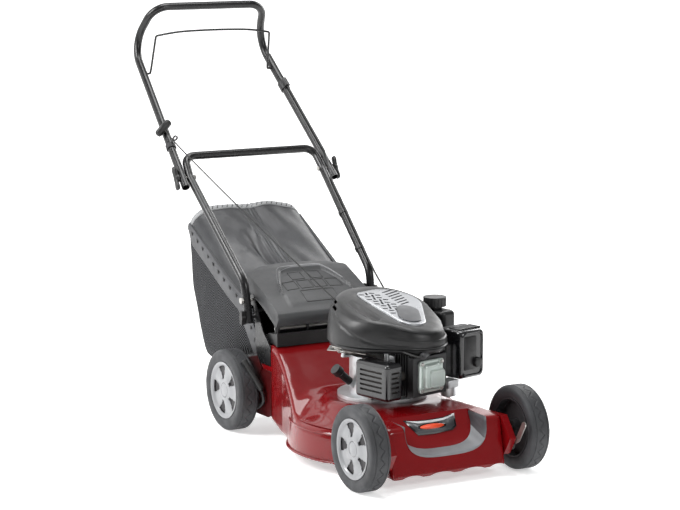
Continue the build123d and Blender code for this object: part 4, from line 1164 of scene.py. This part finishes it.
def flap_point(u, v, lift=0.0):
    """A point of the flap's top: u from -1 to 1 across it, v from 0 at the hinge to 1 at the rear edge."""
    back, z = along_line(FLAP_LINE, v * (1 - 0.17 * abs(u) ** 3))
    crown = 5 * (1 - u * u) * ease(0.0, 0.3, v)
    edge = -26 * ease(0.93, 1.0, abs(u))
    off = arch_offset(u, v)
    ridge = 11 * max(0, 1 - (abs(off) / 0.06) ** 2) if abs(u) < ARCH_HALF else 0
    pad = 2.5 * ease(0.12, 0.2, v) * ease(0.02, 0.10, -off)
    pad *= ease(ARCH_HALF, 0.58, abs(u))
    return at(FLAP_HALF * u, back, z + crown + edge + ridge + pad + lift)


def make_flap():
    """The rear flap: a crowned moulded cover with turned-down sides and an arched grip."""
    columns = [-1, -0.995, -0.985, -0.97, -0.95, -0.93] + [n / 40 * 0.92 for n in range(-40, 41)]
    columns += [0.93, 0.95, 0.97, 0.985, 0.995, 1]
    rows = [[flap_point(u, 0, -21) for u in columns]]
    rows += [[flap_point(u, n / 56) for u in columns] for n in range(57)]
    rows.append([flap_point(u, 1, -7) + Vector((0, 0.001, 0)) for u in columns])
    flap = surface("flap_cover", rows)
    thicken(flap, 3)
    dressed(flap, "flap", "flap", ["rear_flap"], crease=50)


def make_flap_details():
    """The flap's blank panels and a painted highlight band along its arch, and the strip behind its front
    edge.
    """
    panels = []
    for row, cells in ((0.66, (-0.17, 0.17)), (0.48, (-0.40, -0.13, 0.13, 0.40))):
        for u in cells:
            panels += panel_frame(u, row, 0.115, 0.075)
    panels += panel_frame(0, 0.27, 0.30, 0.09)
    # The panel strips are coloured dark as painted shade for the grooves round the panels.
    dressed(joined("flap_panels", panels), "black_plastic", "flap")
    # A thin band along the arch ridge in a lighter grey: a painted highlight.
    rings = []
    for n in range(49):
        u = -0.60 + 1.2 * n / 48
        v = -arch_offset(u, 0)
        # The band is wider on the left, where the painted highlight spreads further.
        wide = 0.020 + 0.022 * ease(-0.15, -0.45, u)
        edge = ((-wide, -1), (-wide, 0.9), (wide, 0.9), (wide, -1))
        rings.append([flap_point(u, v + off, lift) for off, lift in edge])
    dressed(lofted("flap_arch_highlight", rings), "flap_painted_highlight", "flap")
    backing = side_prism("chute_backing", [(575, 270), (577, 270), (577, 290), (575, 290)], 146)
    dressed(backing, "black_plastic", "deck")


def panel_frame(u, v, half_u, half_v):
    """Four raised strips round a blank panel on the flap."""
    corners = [(u + du * half_u, v + dv * half_v) for du, dv in ((-1, -1), (1, -1), (1, 1), (-1, 1))]
    edge = ((-1, -0.5), (-0.6, 0.9), (0.6, 0.9), (1, -0.5))
    strips = []
    for (u0, v0), (u1, v1) in zip(corners, corners[1:] + corners[:1]):
        du, dv = (0, 0.006) if v0 == v1 else (0.0055, 0)
        rings = []
        for n in range(9):
            a, b = u0 + (u1 - u0) * n / 8, v0 + (v1 - v0) * n / 8
            rings.append([flap_point(a + k * du, b + k * dv, lift) for k, lift in edge])
        strips.append(lofted("strip", rings))
    return strips


make_flap()
make_flap_details()


# ---------------- grass bag
BAG_FLOOR = [(651, 218), (903, 139), (972, 155), (1035, 317), (1050, 500)]
BAG_RAIL = [(690, 318), (735, 338), (1050, 501)]


def bag_half(back):
    """Half width of the bag at a distance behind the front axle."""
    return 158 + 14 * ease(650, 830, back)


def make_bag_net():
    """The net body: a cloth shell that bellies between its rails and its floor."""
    stations = 34
    floor = [along_line(BAG_FLOOR, n / stations) for n in range(stations + 1)]
    rail = [along_line(BAG_RAIL, n / stations) for n in range(stations + 1)]
    rings = []
    for n in range(stations + 1):
        ring = []
        for side in (-1, 1):
            wall = []
            for k in range(19):
                t = k / 18
                back, z = [top + (foot - top) * t for top, foot in zip(rail[n], floor[n])]
                belly = 7 * sin(pi * t) * sin(pi * min(1, n / stations * 1.05)) - 9 * ease(0.88, 1, t)
                pucker = 1.4 * noise.noise(Vector((back * 0.02, z * 0.02, side * 3.7)))
                wall.append(at(side * (bag_half(back) - 1 + belly + pucker - 3), back, z))
            ring += wall if side < 0 else list(reversed(wall))
        rings.append(ring)
    net = surface("bag_net_cloth", rings)
    thicken(net, 1.6, offset=0)
    dressed(net, "net", "bag", ["bag_net"])


def cover_point(u, v, lift=0.0):
    """A point of the bag's cover: u from -1 to 1 across it, v from 0 in front to 1 at the rear rim."""
    back, rail = along_line([(712, 327), (735, 338), (1051, 502)], v)
    half = bag_half(back) - 1
    rise = 42 - 10 * ease(0.15, 0.0, v)
    arch = 1 - abs(u) ** (3.2 + 4 * v * v)
    valley = -20 * ease(0.16, 0.0, abs(u + 0.16 + 0.12 * v)) * sin(pi * min(1, v * 1.25)) ** 2
    fold = 4.6 * sin(9 * u + 5 * v) * sin(7 * v + 2.0) + 3.4 * noise.noise(Vector((u * 3.2, v * 4.5, 0.7)))
    sag = -7 * sin(pi * v) * (1 - u * u)
    rib = 2.4 * max(0, cos(u * 105)) * ease(0.17, 0.14, abs(u)) * ease(0.05, 0.12, v)
    z = rail + (rise * arch + (fold + sag + valley) * arch + rib) + lift
    return at(half * u, back - 6 * u * u * ease(0.9, 1, v), z)


def make_bag_cover():
    """The soft vinyl top: arched between its rails, creased, with a ribbed strip down the middle."""
    columns = [n / 60 for n in range(-60, 61)]
    rows = [[cover_point(u, n / 72) for u in columns] for n in range(73)]
    rows.append([cover_point(u, 1) - Vector((0, 0, 0.030 * (1 - abs(u) ** 3.2))) for u in columns])
    cover = surface("bag_cover_cloth", rows)
    thicken(cover, 2.5)
    dressed(cover, "vinyl", "bag", ["bag_cover"], crease=60)


RAIL_LINE = [(652, 224), (731, 337), (1050, 499)]


def rail_point(share, down, side, out):
    """A point on the bag's side: along its rail, square down from it and out from the cloth."""
    back, z = along_line(RAIL_LINE, share)
    ahead, ahead_z = along_line(RAIL_LINE, min(1, share + 0.02))
    behind, behind_z = along_line(RAIL_LINE, max(0, share - 0.02))
    run = Vector((ahead - behind, ahead_z - behind_z)).normalized()
    back, z = back + run.y * down, z - run.x * down
    return at(side * (bag_half(back) + out), back, z)


def make_bag_rails():
    """The wide hard bands along the bag's sides, with their small dark clips."""
    for side, name in SIDES:
        rings = []
        for n in range(49):
            share = 0.99 * n / 48
            wide = 0.25 + 0.75 * ease(1.0, 0.90, share)
            section = [(-8, -6), (-9, 2), (-6, 3.5), (5, 3.5), (7, 1.8)]
            section += [(34 * wide, 2.2), (37 * wide, 0.5), (36 * wide, -6)]
            rings.append([rail_point(share, down, side, out) for down, out in section])
        dressed(lofted("bag_rail_" + name, rings), "rail_grey", "bag", crease=30)
        clips = []
        for n in range(13):
            share = 0.04 + 0.073 * n
            corners = [(share, 1), (share + 0.018, 1), (share + 0.018, 8), (share, 8)]
            outline = [rail_point(a, b, side, 2.5) for a, b in corners]
            clips.append(prism("clip", outline, Vector((side * 0.003, 0, 0))))
        dressed(joined("bag_clips_" + name, clips), "black_plastic", "bag")


def make_bag_rim():
    """The pale hoop round the cover's rear edge, with slanted dark slashes across it."""
    rings = []
    for n in range(81):
        u = 0.995 * (n / 40 - 1)
        ring = [cover_point(u, v, lift) for v, lift in ((0.955, 0.5), (0.96, 3), (0.995, 3.5), (1, 1))]
        rings.append(ring + [cover_point(u, 1, -9) + Vector((0, 0.002, 0))])
    dressed(lofted("bag_hoop", rings), "rim_light", "bag")
    slashes = []
    for n in range(17):
        u = -0.62 + 0.09 * n
        corners = [(u, 0.962), (u + 0.012, 0.962), (u + 0.052, 0.992), (u + 0.040, 0.992)]
        outline = [cover_point(a, b, 2.4) for a, b in corners]
        slashes.append(prism("slash", outline, Vector((0, 0, 0.0022))))
    dressed(joined("bag_slashes", slashes), "black_plastic", "bag")


make_bag_net()
make_bag_cover()
make_bag_rails()
make_bag_rim()
